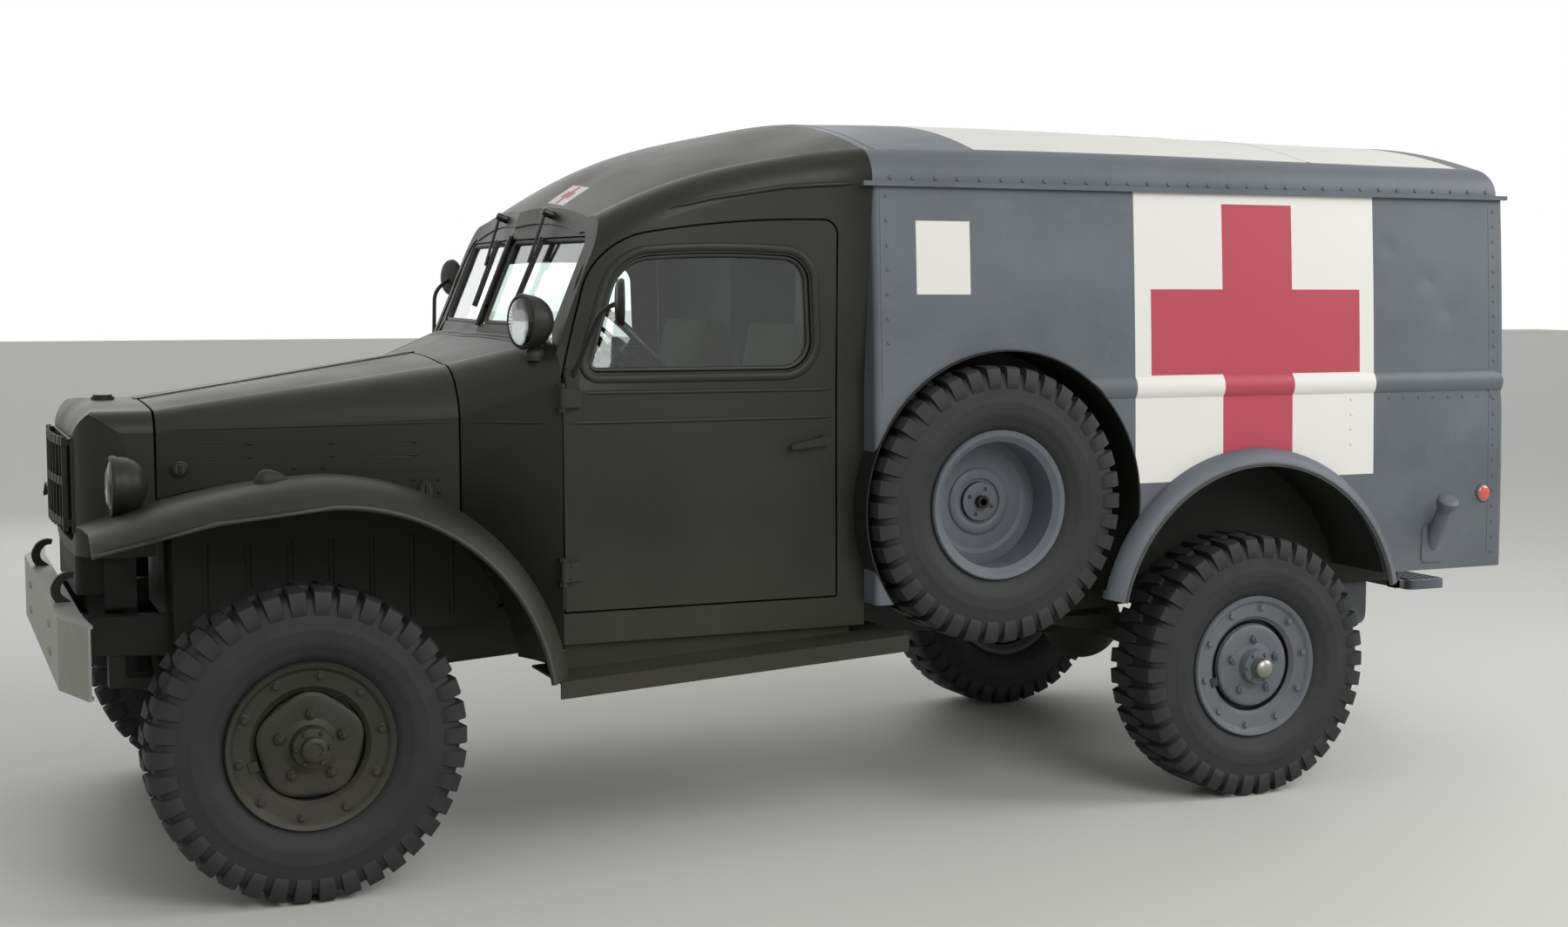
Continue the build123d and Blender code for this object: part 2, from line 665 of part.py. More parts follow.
def roof_section(place, inset=0, shift=0):
    """Half moon across the body above the gutter."""
    side_y = 853 - inset
    shoulder_y, shoulder_z = place["shoulder"][0] - inset * 0.6, place["shoulder"][1] - inset
    round_y = (shoulder_y + side_y) / 2 * (1 - round_share) + side_y * round_share
    round_z = (shoulder_z + box_top_z) / 2 * (1 - round_share) + shoulder_z * round_share
    with BuildSketch(Plane.YZ.offset(at(place["x"] + shift))) as section:
        with BuildLine():
            ThreePointArc((-side_y, box_top_z), (-round_y, round_z), (-shoulder_y, shoulder_z))
            ThreePointArc((-shoulder_y, shoulder_z), (0, place["crown"] - inset), (shoulder_y, shoulder_z))
            ThreePointArc((shoulder_y, shoulder_z), (round_y, round_z), (side_y, box_top_z))
            Line((side_y, box_top_z), (-side_y, box_top_z))
        make_face()
    return section.sketch


with BuildPart() as box_roof:
    loft([roof_section(place) for place in roof_sections])
    rear_edges = box_roof.faces().sort_by(Axis.X)[-1].edges().sort_by(Axis.Z)[1:]
    fillet(rear_edges, radius=70)
with BuildPart() as roof_hollow:
    loft([roof_section(place, roof_wall, -30 * (place["x"] > 4000)) for place in roof_sections])
with BuildPart() as roof:
    add(box_roof.part)
    add(roof_hollow.part, mode=Mode.SUBTRACT)
    with BuildSketch(Plane.YZ.offset(at(gutter_start_x))):
        with Locations((-862, 1977), (862, 1977)):
            Rectangle(17, 14)
    extrude(amount=box_rear_x + 4 - gutter_start_x)
    add(cab_outer.part, mode=Mode.SUBTRACT)
save(roof.part, "box_roof")

# Tub of the load body: floor, front wall and rear panel in one, between the sides
rear_way_half, rear_way_top = 612, 1900
pass_way = (560, 420, 1560)
load_panel_half, load_panel_high = 600, 4
rear_axis_x, rear_axis_y = 4129, rear_way_half
rear_hinge_levels = [850, 1300, 1780]
with BuildPart() as body_rooms:
    add(spare_room)
    add(wheel_room)
    mirror(wheel_room, about=Plane.XZ)
with BuildPart() as box_tub:
    with BuildSketch(Plane.YZ.offset(at(box_front_x))):
        with BuildLine():
            inner = [(side_wall - y, z) for y, z in box_side_arc]
            other = [(-y, z) for y, z in inner]
            ThreePointArc(*inner)
            Line(inner[2], other[2])
            ThreePointArc(*other)
            Line(other[0], inner[0])
        make_face()
    extrude(amount=box_rear_x - box_front_x)
    with BuildSketch(Plane.XY.offset(box_foot_z + floor_high)):
        with Locations((at((box_front_x + box_rear_x) / 2), 0)):
            Rectangle(box_rear_x - box_front_x - 2 * end_wall, 1900)
    extrude(amount=1400, mode=Mode.SUBTRACT)
    with BuildSketch(Plane.YZ.offset(at(box_rear_x - end_wall - 10))):
        with Locations((0, (box_foot_z + floor_high + rear_way_top) / 2)):
            Rectangle(2 * rear_way_half, rear_way_top - box_foot_z - floor_high)
    extrude(amount=60, mode=Mode.SUBTRACT)
    extrude(roof_section(roof_sections[0], roof_wall + 0.5), amount=end_wall)
    with BuildSketch(Plane.YZ.offset(at(box_front_x - 10))):
        with Locations((0, pass_way[2])):
            RectangleRounded(pass_way[0], pass_way[1], 50)
    extrude(amount=60, mode=Mode.SUBTRACT)
    add(body_rooms.part, mode=Mode.SUBTRACT)
    with BuildSketch(Plane.XY.offset(box_foot_z + floor_high - 2)) as load_panel:
        with Locations((at((box_front_x + box_rear_x) / 2), 0)):
            Rectangle(box_rear_x - box_front_x - 90, 2 * load_panel_half)
    extrude(amount=load_panel_high + 2)
    for side in (-1, 1):
        for hinge_z in rear_hinge_levels:
            low_lug_z, high_lug_z = lug_levels(hinge_z)
            for lug_z in (low_lug_z, high_lug_z):
                with BuildSketch(Plane.XY.offset(lug_z)):
                    with Locations((at(rear_axis_x - 9), side * (rear_axis_y + 14))):
                        Rectangle(30, 26)
                    with Locations((at(rear_axis_x), side * rear_axis_y)):
                        Circle(hinge_barrel_radius)
                extrude(amount=hinge_lug)
            with BuildSketch(Plane.XY.offset(low_lug_z)):
                with Locations((at(rear_axis_x), side * rear_axis_y)):
                    Circle(hinge_pin_radius)
            extrude(amount=high_lug_z - low_lug_z)
save(box_tub.part, "box_tub")


def housing(x, z, radius, inner_y):
    """Left side housing over a wheel: a band about Y and its inner wall, down to the body's foot."""
    with BuildPart() as house:
        add(drum(x, z, radius + well_sheet, inner_y - well_sheet, well_rim_y))
        add(drum(x, z, radius, inner_y, 1000), mode=Mode.SUBTRACT)
        with BuildSketch(Plane.XY.offset(box_foot_z - 700)):
            with Locations((at(x), -800)):
                Rectangle(1400, 600)
        extrude(amount=700, mode=Mode.SUBTRACT)
    return house.part


# Wheel housings, and the deeper well of the spare wheel with its clamp bracket
spare_mount = [(92, well_inner_y, 720), (60, 720, 760), (35, 760, 775), (62, 775, 785), (20, 785, 812)]
with BuildPart() as wheel_wells:
    wheel_house = housing(arch_rear_x, arch_rear_z, arch_rear_radius, house_inner_y)
    add(wheel_house)
    mirror(wheel_house, about=Plane.XZ)
    add(housing(well_x, well_z, well_radius, well_inner_y))
    for radius, start_y, end_y in spare_mount:
        with BuildSketch(Plane.XZ.offset(start_y)):
            with Locations((at(spare_x), spare_z)):
                Circle(radius)
        extrude(amount=end_y - start_y)
save(wheel_wells.part, "wheel_wells")

# Rear wheel flares: a quarter round strip on the side, turned down at its lip
flare_lip_y, flare_lip_radius = 955, 542
flare_low_z = 678
flare_low_turn = degrees(atan2(flare_low_z - arch_rear_z, flare_lip_radius))
with BuildPart() as flare_left:
    with BuildSketch(Plane.YZ.offset(at(arch_rear_x))) as flare_section:
        top = arch_rear_z + flare_lip_radius
        with BuildLine():
            ThreePointArc((-flare_lip_y, top), (-936, top + 30), (-884, top + 42))
            Line((-884, top + 42), (-884, top + 36))
            ThreePointArc((-884, top + 36), (-931, top + 25), (-flare_lip_y + 8, top - 12))
            Line((-flare_lip_y + 8, top - 12), (-flare_lip_y, top - 12))
            Line((-flare_lip_y, top - 12), (-flare_lip_y, top))
        make_face()
    flare_axis = Axis((at(arch_rear_x), 0, arch_rear_z), (0, 1, 0))
    back_axis = Axis((at(arch_rear_x), 0, arch_rear_z), (0, -1, 0))
    revolve(flare_section.sketch, axis=flare_axis, revolution_arc=90 - flare_low_turn)
    revolve(flare_section.sketch, axis=back_axis, revolution_arc=90 - flare_low_turn)
    add(box_side_left.part, mode=Mode.SUBTRACT)
    add(wheel_house, mode=Mode.SUBTRACT)
with BuildPart() as rear_flares:
    add(flare_left.part)
    mirror(flare_left.part, about=Plane.XZ)
save(rear_flares.part, "rear_flares")

# Rear doors with one window each
rear_door_thick, rear_window = 32, (330, 360, 1580)
with BuildPart() as rear_door_left:
    with BuildSketch(Plane.YZ.offset(at(box_rear_x - rear_door_thick))):
        low, high = box_foot_z + floor_high + shut_gap, rear_way_top - shut_gap
        inner_y, outer_y = 4, rear_way_half - shut_gap - 1
        with Locations((-(inner_y + outer_y) / 2, (low + high) / 2)):
            Rectangle(outer_y - inner_y, high - low)
        with Locations((-(inner_y + outer_y) / 2, rear_window[2])):
            RectangleRounded(rear_window[0], rear_window[1], 50, mode=Mode.SUBTRACT)
    extrude(amount=rear_door_thick)
    for hinge_z in rear_hinge_levels:
        with BuildSketch(Plane.XY.offset(hinge_z - hinge_barrel_half)) as strap:
            with BuildLine():
                Polyline(
                    (at(4138), -612), (at(4124), -520), (at(4110), -520), (at(4110), -602), (at(4122), -606),
                    close=True,
                )
            make_face()
            with Locations((at(rear_axis_x), -rear_axis_y)):
                Circle(hinge_barrel_radius)
                Circle(hinge_pin_radius + pin_gap, mode=Mode.SUBTRACT)
        extrude(amount=2 * hinge_barrel_half)
with BuildPart() as rear_door_right:
    mirror(rear_door_left.part, about=Plane.XZ)
with rear_door_left:
    with BuildSketch(Plane.YZ.offset(at(box_rear_x - 5))) as rear_handle_boss:
        with Locations((-48, 1180)):
            Circle(20)
    extrude(amount=35)
    with BuildSketch(Plane.YZ.offset(at(box_rear_x + 22))) as rear_handle_bar:
        with Locations((-48, 1180)):
            RectangleRounded(20, 130, 9)
    extrude(amount=12)
with BuildPart() as rear_glass_left:
    with BuildSketch(Plane.YZ.offset(at(box_rear_x - 20))):
        with Locations((-(inner_y + outer_y) / 2, rear_window[2])):
            RectangleRounded(rear_window[0], rear_window[1], 50)
    extrude(amount=6)
with BuildPart() as rear_glass_right:
    mirror(rear_glass_left.part, about=Plane.XZ)
save(rear_door_left.part, "rear_door_left")
save(rear_door_right.part, "rear_door_right")
save(rear_glass_left.part, "rear_glass_left")
save(rear_glass_right.part, "rear_glass_right")

# Cab floor
with BuildPart() as cab_floor:
    with BuildSketch(Plane.XY.offset(cab_floor_z)):
        with BuildLine():
            Polyline(
                (at(511), -480), (at(700), -480), (at(760), -768), (at(cab_rear_x), -768),
                (at(cab_rear_x), 768), (at(760), 768), (at(700), 480), (at(511), 480),
                close=True,
            )
        make_face()
    extrude(amount=12)
    add(fender_cut_left, mode=Mode.SUBTRACT)
    add(fender_cut_left.mirror(Plane.XZ), mode=Mode.SUBTRACT)
    add(spare_room, mode=Mode.SUBTRACT)
save(cab_floor.part, "cab_floor")

# Running boards: a sloped tread with a turned down edge and an apron up to the sill
board_front, board_rear = (692, 560), (1784, 623)
board_skirt = 50
board_inner_y, board_outer_y = 660, 950
board_strips = [(board_inner_y, board_outer_y, 7), (board_outer_y - 7, board_outer_y, board_skirt)]
with BuildPart() as board_left:
    for inner_y, outer_y, depth in board_strips:
        with BuildSketch(Plane.XZ.offset(inner_y)):
            with BuildLine():
                Polyline(
                    (at(board_front[0]), board_front[1]), (at(board_rear[0]), board_rear[1]),
                    (at(board_rear[0]), board_rear[1] - depth), (at(board_front[0]), board_front[1] - depth),
                    close=True,
                )
            make_face()
        extrude(amount=outer_y - inner_y)
    with BuildSketch(Plane.XZ.offset(782)):
        with BuildLine():
            Polyline(
                (at(board_front[0] + 60), 563), (at(1660), 615), (at(1660), 640), (at(board_front[0] + 60), 640),
                close=True,
            )
        make_face()
    extrude(amount=6)
    add(fender_left.part, mode=Mode.SUBTRACT)
with BuildPart() as running_boards:
    add(board_left.part)
    mirror(board_left.part, about=Plane.XZ)
save(running_boards.part, "running_boards")

# Wheel: divided rim, dished disc, hub and drum turned about one axis, as radius and offset from the tyre's
# middle plane, outwards negative
spindle_radius = 25
rim_profile = [
    (0, -146), (30, -146), (34, -140), (34, -122), (54, -118), (60, -92), (86, -84), (122, -80), (137, -70),
    (140, -50), (150, -50), (152, -74), (164, -86), (206, -90), (216, -100), (228, -104), (rim_radius, -98),
    (rim_radius, -90), (214, -86), (205, -86), (205, 86), (214, 86), (rim_radius, 90), (rim_radius, 98),
    (228, 104), (214, 100), (196, 84), (196, -36), (164, -36), (164, 70), (150, 70), (150, -40), (60, -40),
    (60, 40), (spindle_radius + pin_gap, 40), (spindle_radius + pin_gap, -20), (0, -20),
]
spare_profile = [
    (38, -50), (86, -60), (122, -72), (137, -66), (140, -50), (150, -50), (152, -74), (164, -86), (206, -90),
    (216, -100), (228, -104), (rim_radius, -98), (rim_radius, -90), (214, -86), (205, -86), (205, 86), (214, 86),
    (rim_radius, 90), (rim_radius, 98), (228, 104), (214, 100), (196, 84), (196, -36), (164, -36), (150, -40),
    (38, -40),
]
tyre_count = 36
tyre_bore, tyre_groove, lug_half_width, lug_share = 206, 414, 106, 0.52
lug_steps = [(0, tyre_groove), (0, tyre_radius), (lug_share, tyre_radius), (lug_share, tyre_groove)]
shoulder_rings = [(106, 404), (119, 375)]
recess_rings = [(121, 288), (86, 236)]


def turned(profile, x, y, z, outward):
    """Solid of revolution about Y from radius and offset points."""
    with BuildPart() as piece:
        with BuildSketch(Plane.YZ.offset(x)):
            with BuildLine():
                Polyline(*[(y - outward * offset, z + radius) for radius, offset in profile], close=True)
            make_face()
        revolve(axis=Axis((x, y, z), (0, 1, 0)))
    return piece.part


def ring_sketch(x, y, z, radius):
    """Even polygon about Y on the XZ plane at y."""
    turns = [radians(360 / tyre_count * index) for index in range(tyre_count)]
    points = [(x + radius * sin(turn), z - radius * cos(turn)) for turn in turns]
    with BuildSketch(Plane.XZ.offset(-y)) as ring:
        with BuildLine():
            Polyline(*points, close=True)
        make_face()
    return ring.sketch


def lug_sketch(x, y, z):
    """Outline of the crown with its bars, on the XZ plane at y."""
    points = []
    for lug in range(tyre_count):
        for share, radius in lug_steps:
            turn = radians(360 / tyre_count * (lug + share - lug_share / 2))
            points.append((x + radius * sin(turn), z - radius * cos(turn)))
    with BuildSketch(Plane.XZ.offset(-y)) as crown:
        with BuildLine():
            Polyline(*points, close=True)
        make_face()
    return crown.sketch


def tyre_solid(x, y, z):
    """Tyre of flat faces: bars across its crown, slanting shoulders, a recess round each bead, a bore."""
    with BuildPart() as piece:
        extrude(lug_sketch(x, y - lug_half_width, z), amount=-2 * lug_half_width)
        for side in (-1, 1):
            shoulder = [ring_sketch(x, y + side * offset, z, radius) for offset, radius in shoulder_rings]
            loft(shoulder, ruled=True)
        for side in (-1, 1):
            recess = [ring_sketch(x, y + side * offset, z, radius) for offset, radius in recess_rings]
            loft(recess, ruled=True, mode=Mode.SUBTRACT)
        bore = ring_sketch(x, y - 130, z, tyre_bore)
        extrude(bore, amount=-260, mode=Mode.SUBTRACT)
    return piece.part


# Wheels and tyres: name, x, side
wheel_places = [
    ("front_left", front_axle_x, -1),
    ("front_right", front_axle_x, 1),
    ("rear_left", rear_axle_x, -1),
    ("rear_right", rear_axle_x, 1),
]
for name, x, side in wheel_places:
    save(turned(rim_profile, x, side * wheel_y, axle_z, side), f"wheel_{name}")
    save(tyre_solid(x, side * wheel_y, axle_z), f"tyre_{name}")
save(turned(spare_profile, at(spare_x), -spare_y, spare_z, 1), "wheel_spare")
save(tyre_solid(at(spare_x), -spare_y, spare_z), "tyre_spare")

# Axles: tubes with a round gear casing off the middle, and spring seats
king_pin_y = 690
casing_y, casing_radius = 165, 148
tube_radius = 42
spring_y, spring_width = rail_y, 44
hub_face_y = wheel_y - 80


def axle_beam(x, end_y, pinion_side):
    """Axle housing across the vehicle with its casing and the pinion's nose."""
    with BuildPart() as beam:
        with BuildSketch(Plane.XZ.offset(-end_y)):
            with Locations((x, axle_z)):
                Circle(tube_radius)
        extrude(amount=2 * end_y)
        with Locations((x, casing_y, axle_z)):
            Sphere(casing_radius)
        with BuildSketch(Plane.YZ.offset(x)):
            with Locations((casing_y, axle_z)):
                Circle(62)
        extrude(amount=pinion_side * 215, taper=6)
    return beam.part


with BuildPart() as front_axle:
    add(axle_beam(front_axle_x, king_pin_y - 20, 1))
    for side in (-1, 1):
        with Locations((front_axle_x, side * king_pin_y, axle_z)):
            Sphere(31)
        with BuildSketch(Plane.XY.offset(axle_z - 82)):
            with Locations((front_axle_x, side * king_pin_y)):
                Circle(13)
        extrude(amount=164)
        with BuildSketch(Plane.XY.offset(axle_z)):
            with Locations((front_axle_x, side * spring_y)):
                Rectangle(120, 60)
        extrude(amount=48)
with BuildPart() as rear_axle:
    add(axle_beam(rear_axle_x, hub_face_y, -1))
    for side in (-1, 1):
        with BuildSketch(Plane.XZ.offset(-side * hub_face_y - 3)):
            with Locations((rear_axle_x, axle_z)):
                Circle(158)
        extrude(amount=6)
        with BuildSketch(Plane.XZ.offset(-side * (wheel_y + 10) if side > 0 else hub_face_y)):
            with Locations((rear_axle_x, axle_z)):
                Circle(spindle_radius)
        extrude(amount=wheel_y + 10 - hub_face_y)
        with BuildSketch(Plane.XY.offset(axle_z)):
            with Locations((rear_axle_x, side * spring_y)):
                Rectangle(130, 60)
        extrude(amount=48)
save(front_axle.part, "front_axle")
save(rear_axle.part, "rear_axle")

# Steering knuckles: a fork round the axle's ball, a back plate, a spindle and an arm to the rear
arm_x, arm_y, arm_z, arm_thick = 195, king_pin_y, 354, 16
fork_half, fork_low_z, fork_high_z, fork_plate_y = 36, 354, 490, 727
with BuildPart() as knuckle_left:
    with BuildSketch(Plane.XZ.offset(fork_plate_y)):
        with Locations((front_axle_x, axle_z)):
            Rectangle(2 * fork_half, 152)
    extrude(amount=hub_face_y - fork_plate_y)
    for z in (fork_low_z, fork_high_z):
        with BuildSketch(Plane.XY.offset(z)):
            with Locations((front_axle_x, -(king_pin_y + fork_plate_y) / 2)):
                Rectangle(2 * fork_half, fork_plate_y - king_pin_y)
            with Locations((front_axle_x, -king_pin_y)):
                Circle(fork_half)
            with Locations((front_axle_x, -king_pin_y)):
                Circle(13 + pin_gap, mode=Mode.SUBTRACT)
        extrude(amount=16)
    with BuildSketch(Plane.XZ.offset(hub_face_y)):
        with Locations((front_axle_x, axle_z)):
            Circle(158)
    extrude(amount=5)
    with BuildSketch(Plane.XZ.offset(hub_face_y)):
        with Locations((front_axle_x, axle_z)):
            Circle(spindle_radius)
    extrude(amount=wheel_y + 10 - hub_face_y)
    with BuildSketch(Plane.XY.offset(arm_z)):
        with BuildLine():
            Polyline(
                (front_axle_x + 25, -arm_y - 30), (front_axle_x + arm_x + 16, -arm_y - 14),
                (front_axle_x + arm_x + 16, -arm_y + 16), (front_axle_x + 25, -arm_y + 16),
                close=True,
            )
        make_face()
        with Locations((front_axle_x + arm_x, -arm_y)):
            Circle(9 + pin_gap, mode=Mode.SUBTRACT)
    extrude(amount=arm_thick)
with BuildPart() as knuckle_right:
    mirror(knuckle_left.part, about=Plane.XZ)
save(knuckle_left.part, "knuckle_left")
save(knuckle_right.part, "knuckle_right")

# Tie rod below the arms, with a stud up through each
rod_z, rod_radius = 334, 13
with BuildPart() as tie_rod:
    with BuildSketch(Plane.XZ.offset(-arm_y)):
        with Locations((front_axle_x + arm_x, rod_z)):
            Circle(rod_radius)
    extrude(amount=2 * arm_y)
    for side in (-1, 1):
        with BuildSketch(Plane.XY.offset(rod_z)):
            with Locations((front_axle_x + arm_x, side * arm_y)):
                Circle(9)
        extrude(amount=arm_z + arm_thick + 6 - rod_z)
        with Locations((front_axle_x + arm_x, side * arm_y, rod_z)):
            Cylinder(17, 30)
save(tie_rod.part, "tie_rod")

# Leaf springs: one bowed pack over each axle end
spring_seat_z = axle_z + 48
spring_rows = [(0, 470), (wheelbase, 600)]
hanger_low_z, hanger_high_z, hanger_long = 535, 665, 44
with BuildPart() as springs_left:
    for x, half in spring_rows:
        with BuildSketch(Plane.XZ.offset(spring_y - spring_width / 2)):
            with BuildLine():
                ThreePointArc((at(x - half), 548), (at(x), spring_seat_z), (at(x + half), 548))
                Line((at(x + half), 548), (at(x + half), 558))
                ThreePointArc((at(x + half), 558), (at(x), spring_seat_z + 62), (at(x - half), 558))
                Line((at(x - half), 558), (at(x - half), 548))
            make_face()
        extrude(amount=spring_width)
        for end_x in (x - half + 20, x + half - 20):
            with BuildSketch(Plane.XZ.offset(spring_y - spring_width / 2 - 4)):
                with Locations((at(end_x), (hanger_low_z + hanger_high_z) / 2)):
                    Rectangle(hanger_long, hanger_high_z - hanger_low_z)
            extrude(amount=spring_width + 8)
    extrude(web.sketch, amount=rail_width, mode=Mode.SUBTRACT)
with BuildPart() as leaf_springs:
    add(springs_left.part)
    mirror(springs_left.part, about=Plane.XZ)
save(leaf_springs.part, "leaf_springs")

# Engine as one block, with gearbox, transfer case and the two propeller shafts
transfer_x, transfer_z, shaft_radius = 1390, 500, 28
with BuildPart() as engine_and_drive:
    with BuildSketch(Plane.XY.offset(690)):
        with Locations((at(60), 0)):
            RectangleRounded(700, 480, 40)
    extrude(amount=520)
    with BuildSketch(Plane.YZ.offset(at(410))):
        with Locations((0, 642)):
            RectangleRounded(260, 160, 50)
    extrude(amount=440, taper=2)
    with BuildSketch(Plane.XZ.offset(-casing_y - 90)):
        with Locations((at(transfer_x), transfer_z)):
            RectangleRounded(200, 230, 50)
    extrude(amount=180)
for x, pinion_side in ((front_axle_x, 1), (rear_axle_x, -1)):
    nose_x = x + pinion_side * 215
    case_x = at(transfer_x) - pinion_side * 100
    run = Vector(nose_x, casing_y, axle_z) - Vector(case_x, casing_y, transfer_z)
    shaft_plane = Plane(origin=(case_x, casing_y, transfer_z), z_dir=run)
    with BuildPart(shaft_plane) as shaft:
        Cylinder(shaft_radius, run.length - 4, align=(Align.CENTER, Align.CENTER, Align.MIN))
    with engine_and_drive:
        add(shaft.part)
save(engine_and_drive.part, "engine_and_drive")

# Exhaust: silencer inside the right rail and a pipe out ahead of the rear wheel
exhaust_y, exhaust_z = 285, 470
with BuildPart() as exhaust:
    with BuildSketch(Plane.YZ.offset(at(1650))):
        with Locations((exhaust_y, exhaust_z)):
            Ellipse(66, 56)
    extrude(amount=560)
    with BuildLine() as tail_line:
        FilletPolyline(
            (at(2200), exhaust_y, exhaust_z), (at(2420), exhaust_y, exhaust_z), (at(2420), 860, exhaust_z),
            radius=90,
        )
    with BuildSketch(Plane(origin=tail_line.line @ 0, z_dir=tail_line.line % 0)):
        Circle(24)
    sweep(path=tail_line.line)
    with BuildLine() as down_line:
        FilletPolyline(
            (at(1660), exhaust_y, exhaust_z), (at(880), exhaust_y, exhaust_z + 20),
            (at(640), 250, 690), (at(400), 215, 716),
            radius=80,
        )
    with BuildSketch(Plane(origin=down_line.line @ 0, z_dir=down_line.line % 0)):
        Circle(24)
    sweep(path=down_line.line)
    with BuildSketch(Plane.YZ.offset(at(1915))):
        with Locations((exhaust_y + (rail_y - rail_width / 2 - exhaust_y) / 2, 565)):
            Rectangle(rail_y - rail_width / 2 - exhaust_y, 120)
    extrude(amount=10)
    add(engine_and_drive.part, mode=Mode.SUBTRACT)
save(exhaust.part, "exhaust")

# Fuel tank between the rails and its filler neck on the left side
filler_low, filler_high = (3814, -885, 790), (3800, -985, 955)
with BuildPart() as filler:
    run = Vector(*filler_high) - Vector(*filler_low)
    start = Vector(at(filler_low[0]), filler_low[1], filler_low[2])
    neck = Plane(origin=start, z_dir=run)
    with BuildSketch(neck):
        Circle(25)
    extrude(amount=run.length)
    with BuildSketch(neck.offset(run.length - 26)):
        Circle(33)
    extrude(amount=26)
    with BuildSketch(Plane.XZ.offset(870)):
        with Locations((at(filler_low[0]), filler_low[2] + 10)):
            RectangleRounded(100, 130, 20)
    extrude(amount=34)
    add(box_side_left.part, mode=Mode.SUBTRACT)
    with BuildSketch(Plane.XZ.offset(700)):
        with Locations((at(filler_low[0]), filler_low[2])):
            Rectangle(400, 400)
    extrude(amount=185, mode=Mode.SUBTRACT)
with BuildPart() as fuel_tank:
    with BuildSketch(Plane.YZ.offset(at(3450))):
        with Locations((0, 515)):
            RectangleRounded(640, 200, 50)
    extrude(amount=560)
    add(filler.part)
save(fuel_tank.part, "fuel_tank")

# Rear step on two brackets from the frame
with BuildPart() as rear_step:
    with BuildSketch(Plane.XY.offset(560)):
        with Locations((at(4186), 0)):
            RectangleRounded(170, 1180, 30)
    extrude(amount=34)
    for side in (-1, 1):
        with BuildSketch(Plane.XY.offset(566)):
            with Locations((at(4100), side * rail_y)):
                Rectangle(80, 50)
        extrude(amount=28)
        with BuildSketch(Plane.XY.offset(566)):
            with Locations((at(4068), side * rail_y)):
                Rectangle(16, 50)
        extrude(amount=110)
save(rear_step.part, "rear_step")

# Seats: a cushion and a back each side, on low boxes
seat_y, seat_half = 400, 225
with BuildPart() as seats:
    for side in (-1, 1):
        with BuildSketch(Plane.XZ.offset(-side * seat_y - seat_half)) as seat_side:
            with BuildLine():
                Polyline(
                    (at(1130), 742), (at(1130), 1060), (at(1160), 1110), (at(1520), 1090), (at(1590), 1560),
                    (at(1630), 1570), (at(1655), 1540), (at(1610), 742),
                    close=True,
                )
            make_face()
            fillet(seat_side.vertices().sort_by(Axis.Z)[-4:], radius=16)
        extrude(amount=2 * seat_half)
save(seats.part, "seats")

# Steering column, wheel rim and spokes
wheel_centre = Vector(at(1085), -360, 1480)
column_foot = Vector(at(535), -360, 977)
column_run = wheel_centre - column_foot
column_plane = Plane(origin=column_foot, z_dir=column_run)
with BuildPart() as steering_wheel:
    with BuildSketch(Plane.YZ.offset(at(511))):
        with Locations((-360, 967)):
            RectangleRounded(110, 110, 20)
    extrude(amount=50)
    with BuildSketch(column_plane):
        Circle(22)
    extrude(amount=column_run.length)
    with BuildSketch(column_plane.offset(column_run.length - 30)):
        Circle(42)
    extrude(amount=34)
    with BuildSketch(column_plane.offset(column_run.length - 8)):
        for turn in (90, 210, 330):
            with Locations(Location((0, 0, 0), (0, 0, turn))):
                with Locations((100, 0)):
                    Rectangle(190, 18)
    extrude(amount=10)
    rim_plane = Plane(origin=wheel_centre, x_dir=column_plane.x_dir, z_dir=column_plane.z_dir)
    with BuildSketch(Plane(origin=wheel_centre, x_dir=rim_plane.x_dir, z_dir=rim_plane.y_dir)):
        with Locations((205, 0)):
            Circle(13)
    revolve(axis=Axis(wheel_centre, rim_plane.z_dir))
save(steering_wheel.part, "steering_wheel")

# Lamps: two head lamps, two marker lamps, a spotlight and two tail lamps
head_x, head_y, head_z, head_radius = -468, 620, 1126, 79
spot_x, spot_y, spot_z, spot_radius, spot_yaw = 662, 700, 1567, 76, 15
lamp_profile = [(0, 0), (1, 0.02), (1, 0.16), (0.86, 0.34), (0.62, 0.9), (0.42, 1.3), (0.2, 1.42), (0, 1.46)]


def lamp_body(origin, direction, radius):
    """Bullet shaped lamp: flat glass side at its origin, its body runs along the direction."""
    with BuildPart() as lamp:
        across = Vector(*direction).cross(Vector(0, 0, 1))
        with BuildSketch(Plane(origin=origin, x_dir=(0, 0, 1), z_dir=across)) as half:
            with BuildLine():
                Polyline(*[(radius * out, radius * along) for out, along in lamp_profile], close=True)
            make_face()
        revolve(axis=Axis(origin, direction))
    return lamp.part


with BuildPart() as lamps:
    for side in (-1, 1):
        add(lamp_body((at(head_x), side * head_y, head_z), (1, 0, 0), head_radius))
        with BuildSketch(Plane.XY.offset(1030)):
            with Locations((at(head_x + 50), side * head_y)):
                Circle(20)
        extrude(amount=60)
        with Locations((at(-85), side * 800, 1140)):
            Cylinder(20, 50)
    add(front_fenders.part, mode=Mode.SUBTRACT)
    add(fender_cut_left, mode=Mode.SUBTRACT)
    add(fender_cut_left.mirror(Plane.XZ), mode=Mode.SUBTRACT)
    for side in (-1, 1):
        with BuildSketch(Plane.YZ.offset(at(box_rear_x))):
            with Locations((side * 760, 1010)):
                Circle(40)
        extrude(amount=46)
with BuildPart() as spotlight:
    facing = (cos(radians(spot_yaw)), sin(radians(spot_yaw)), 0)
    add(lamp_body((at(spot_x), -spot_y, spot_z), facing, spot_radius))
    with BuildSketch(Plane.XY.offset(1440)):
        with Locations((at(spot_x + 60), -spot_y + 20)):
            Circle(14)
    extrude(amount=90)
    add(cowl_outer.part, mode=Mode.SUBTRACT)
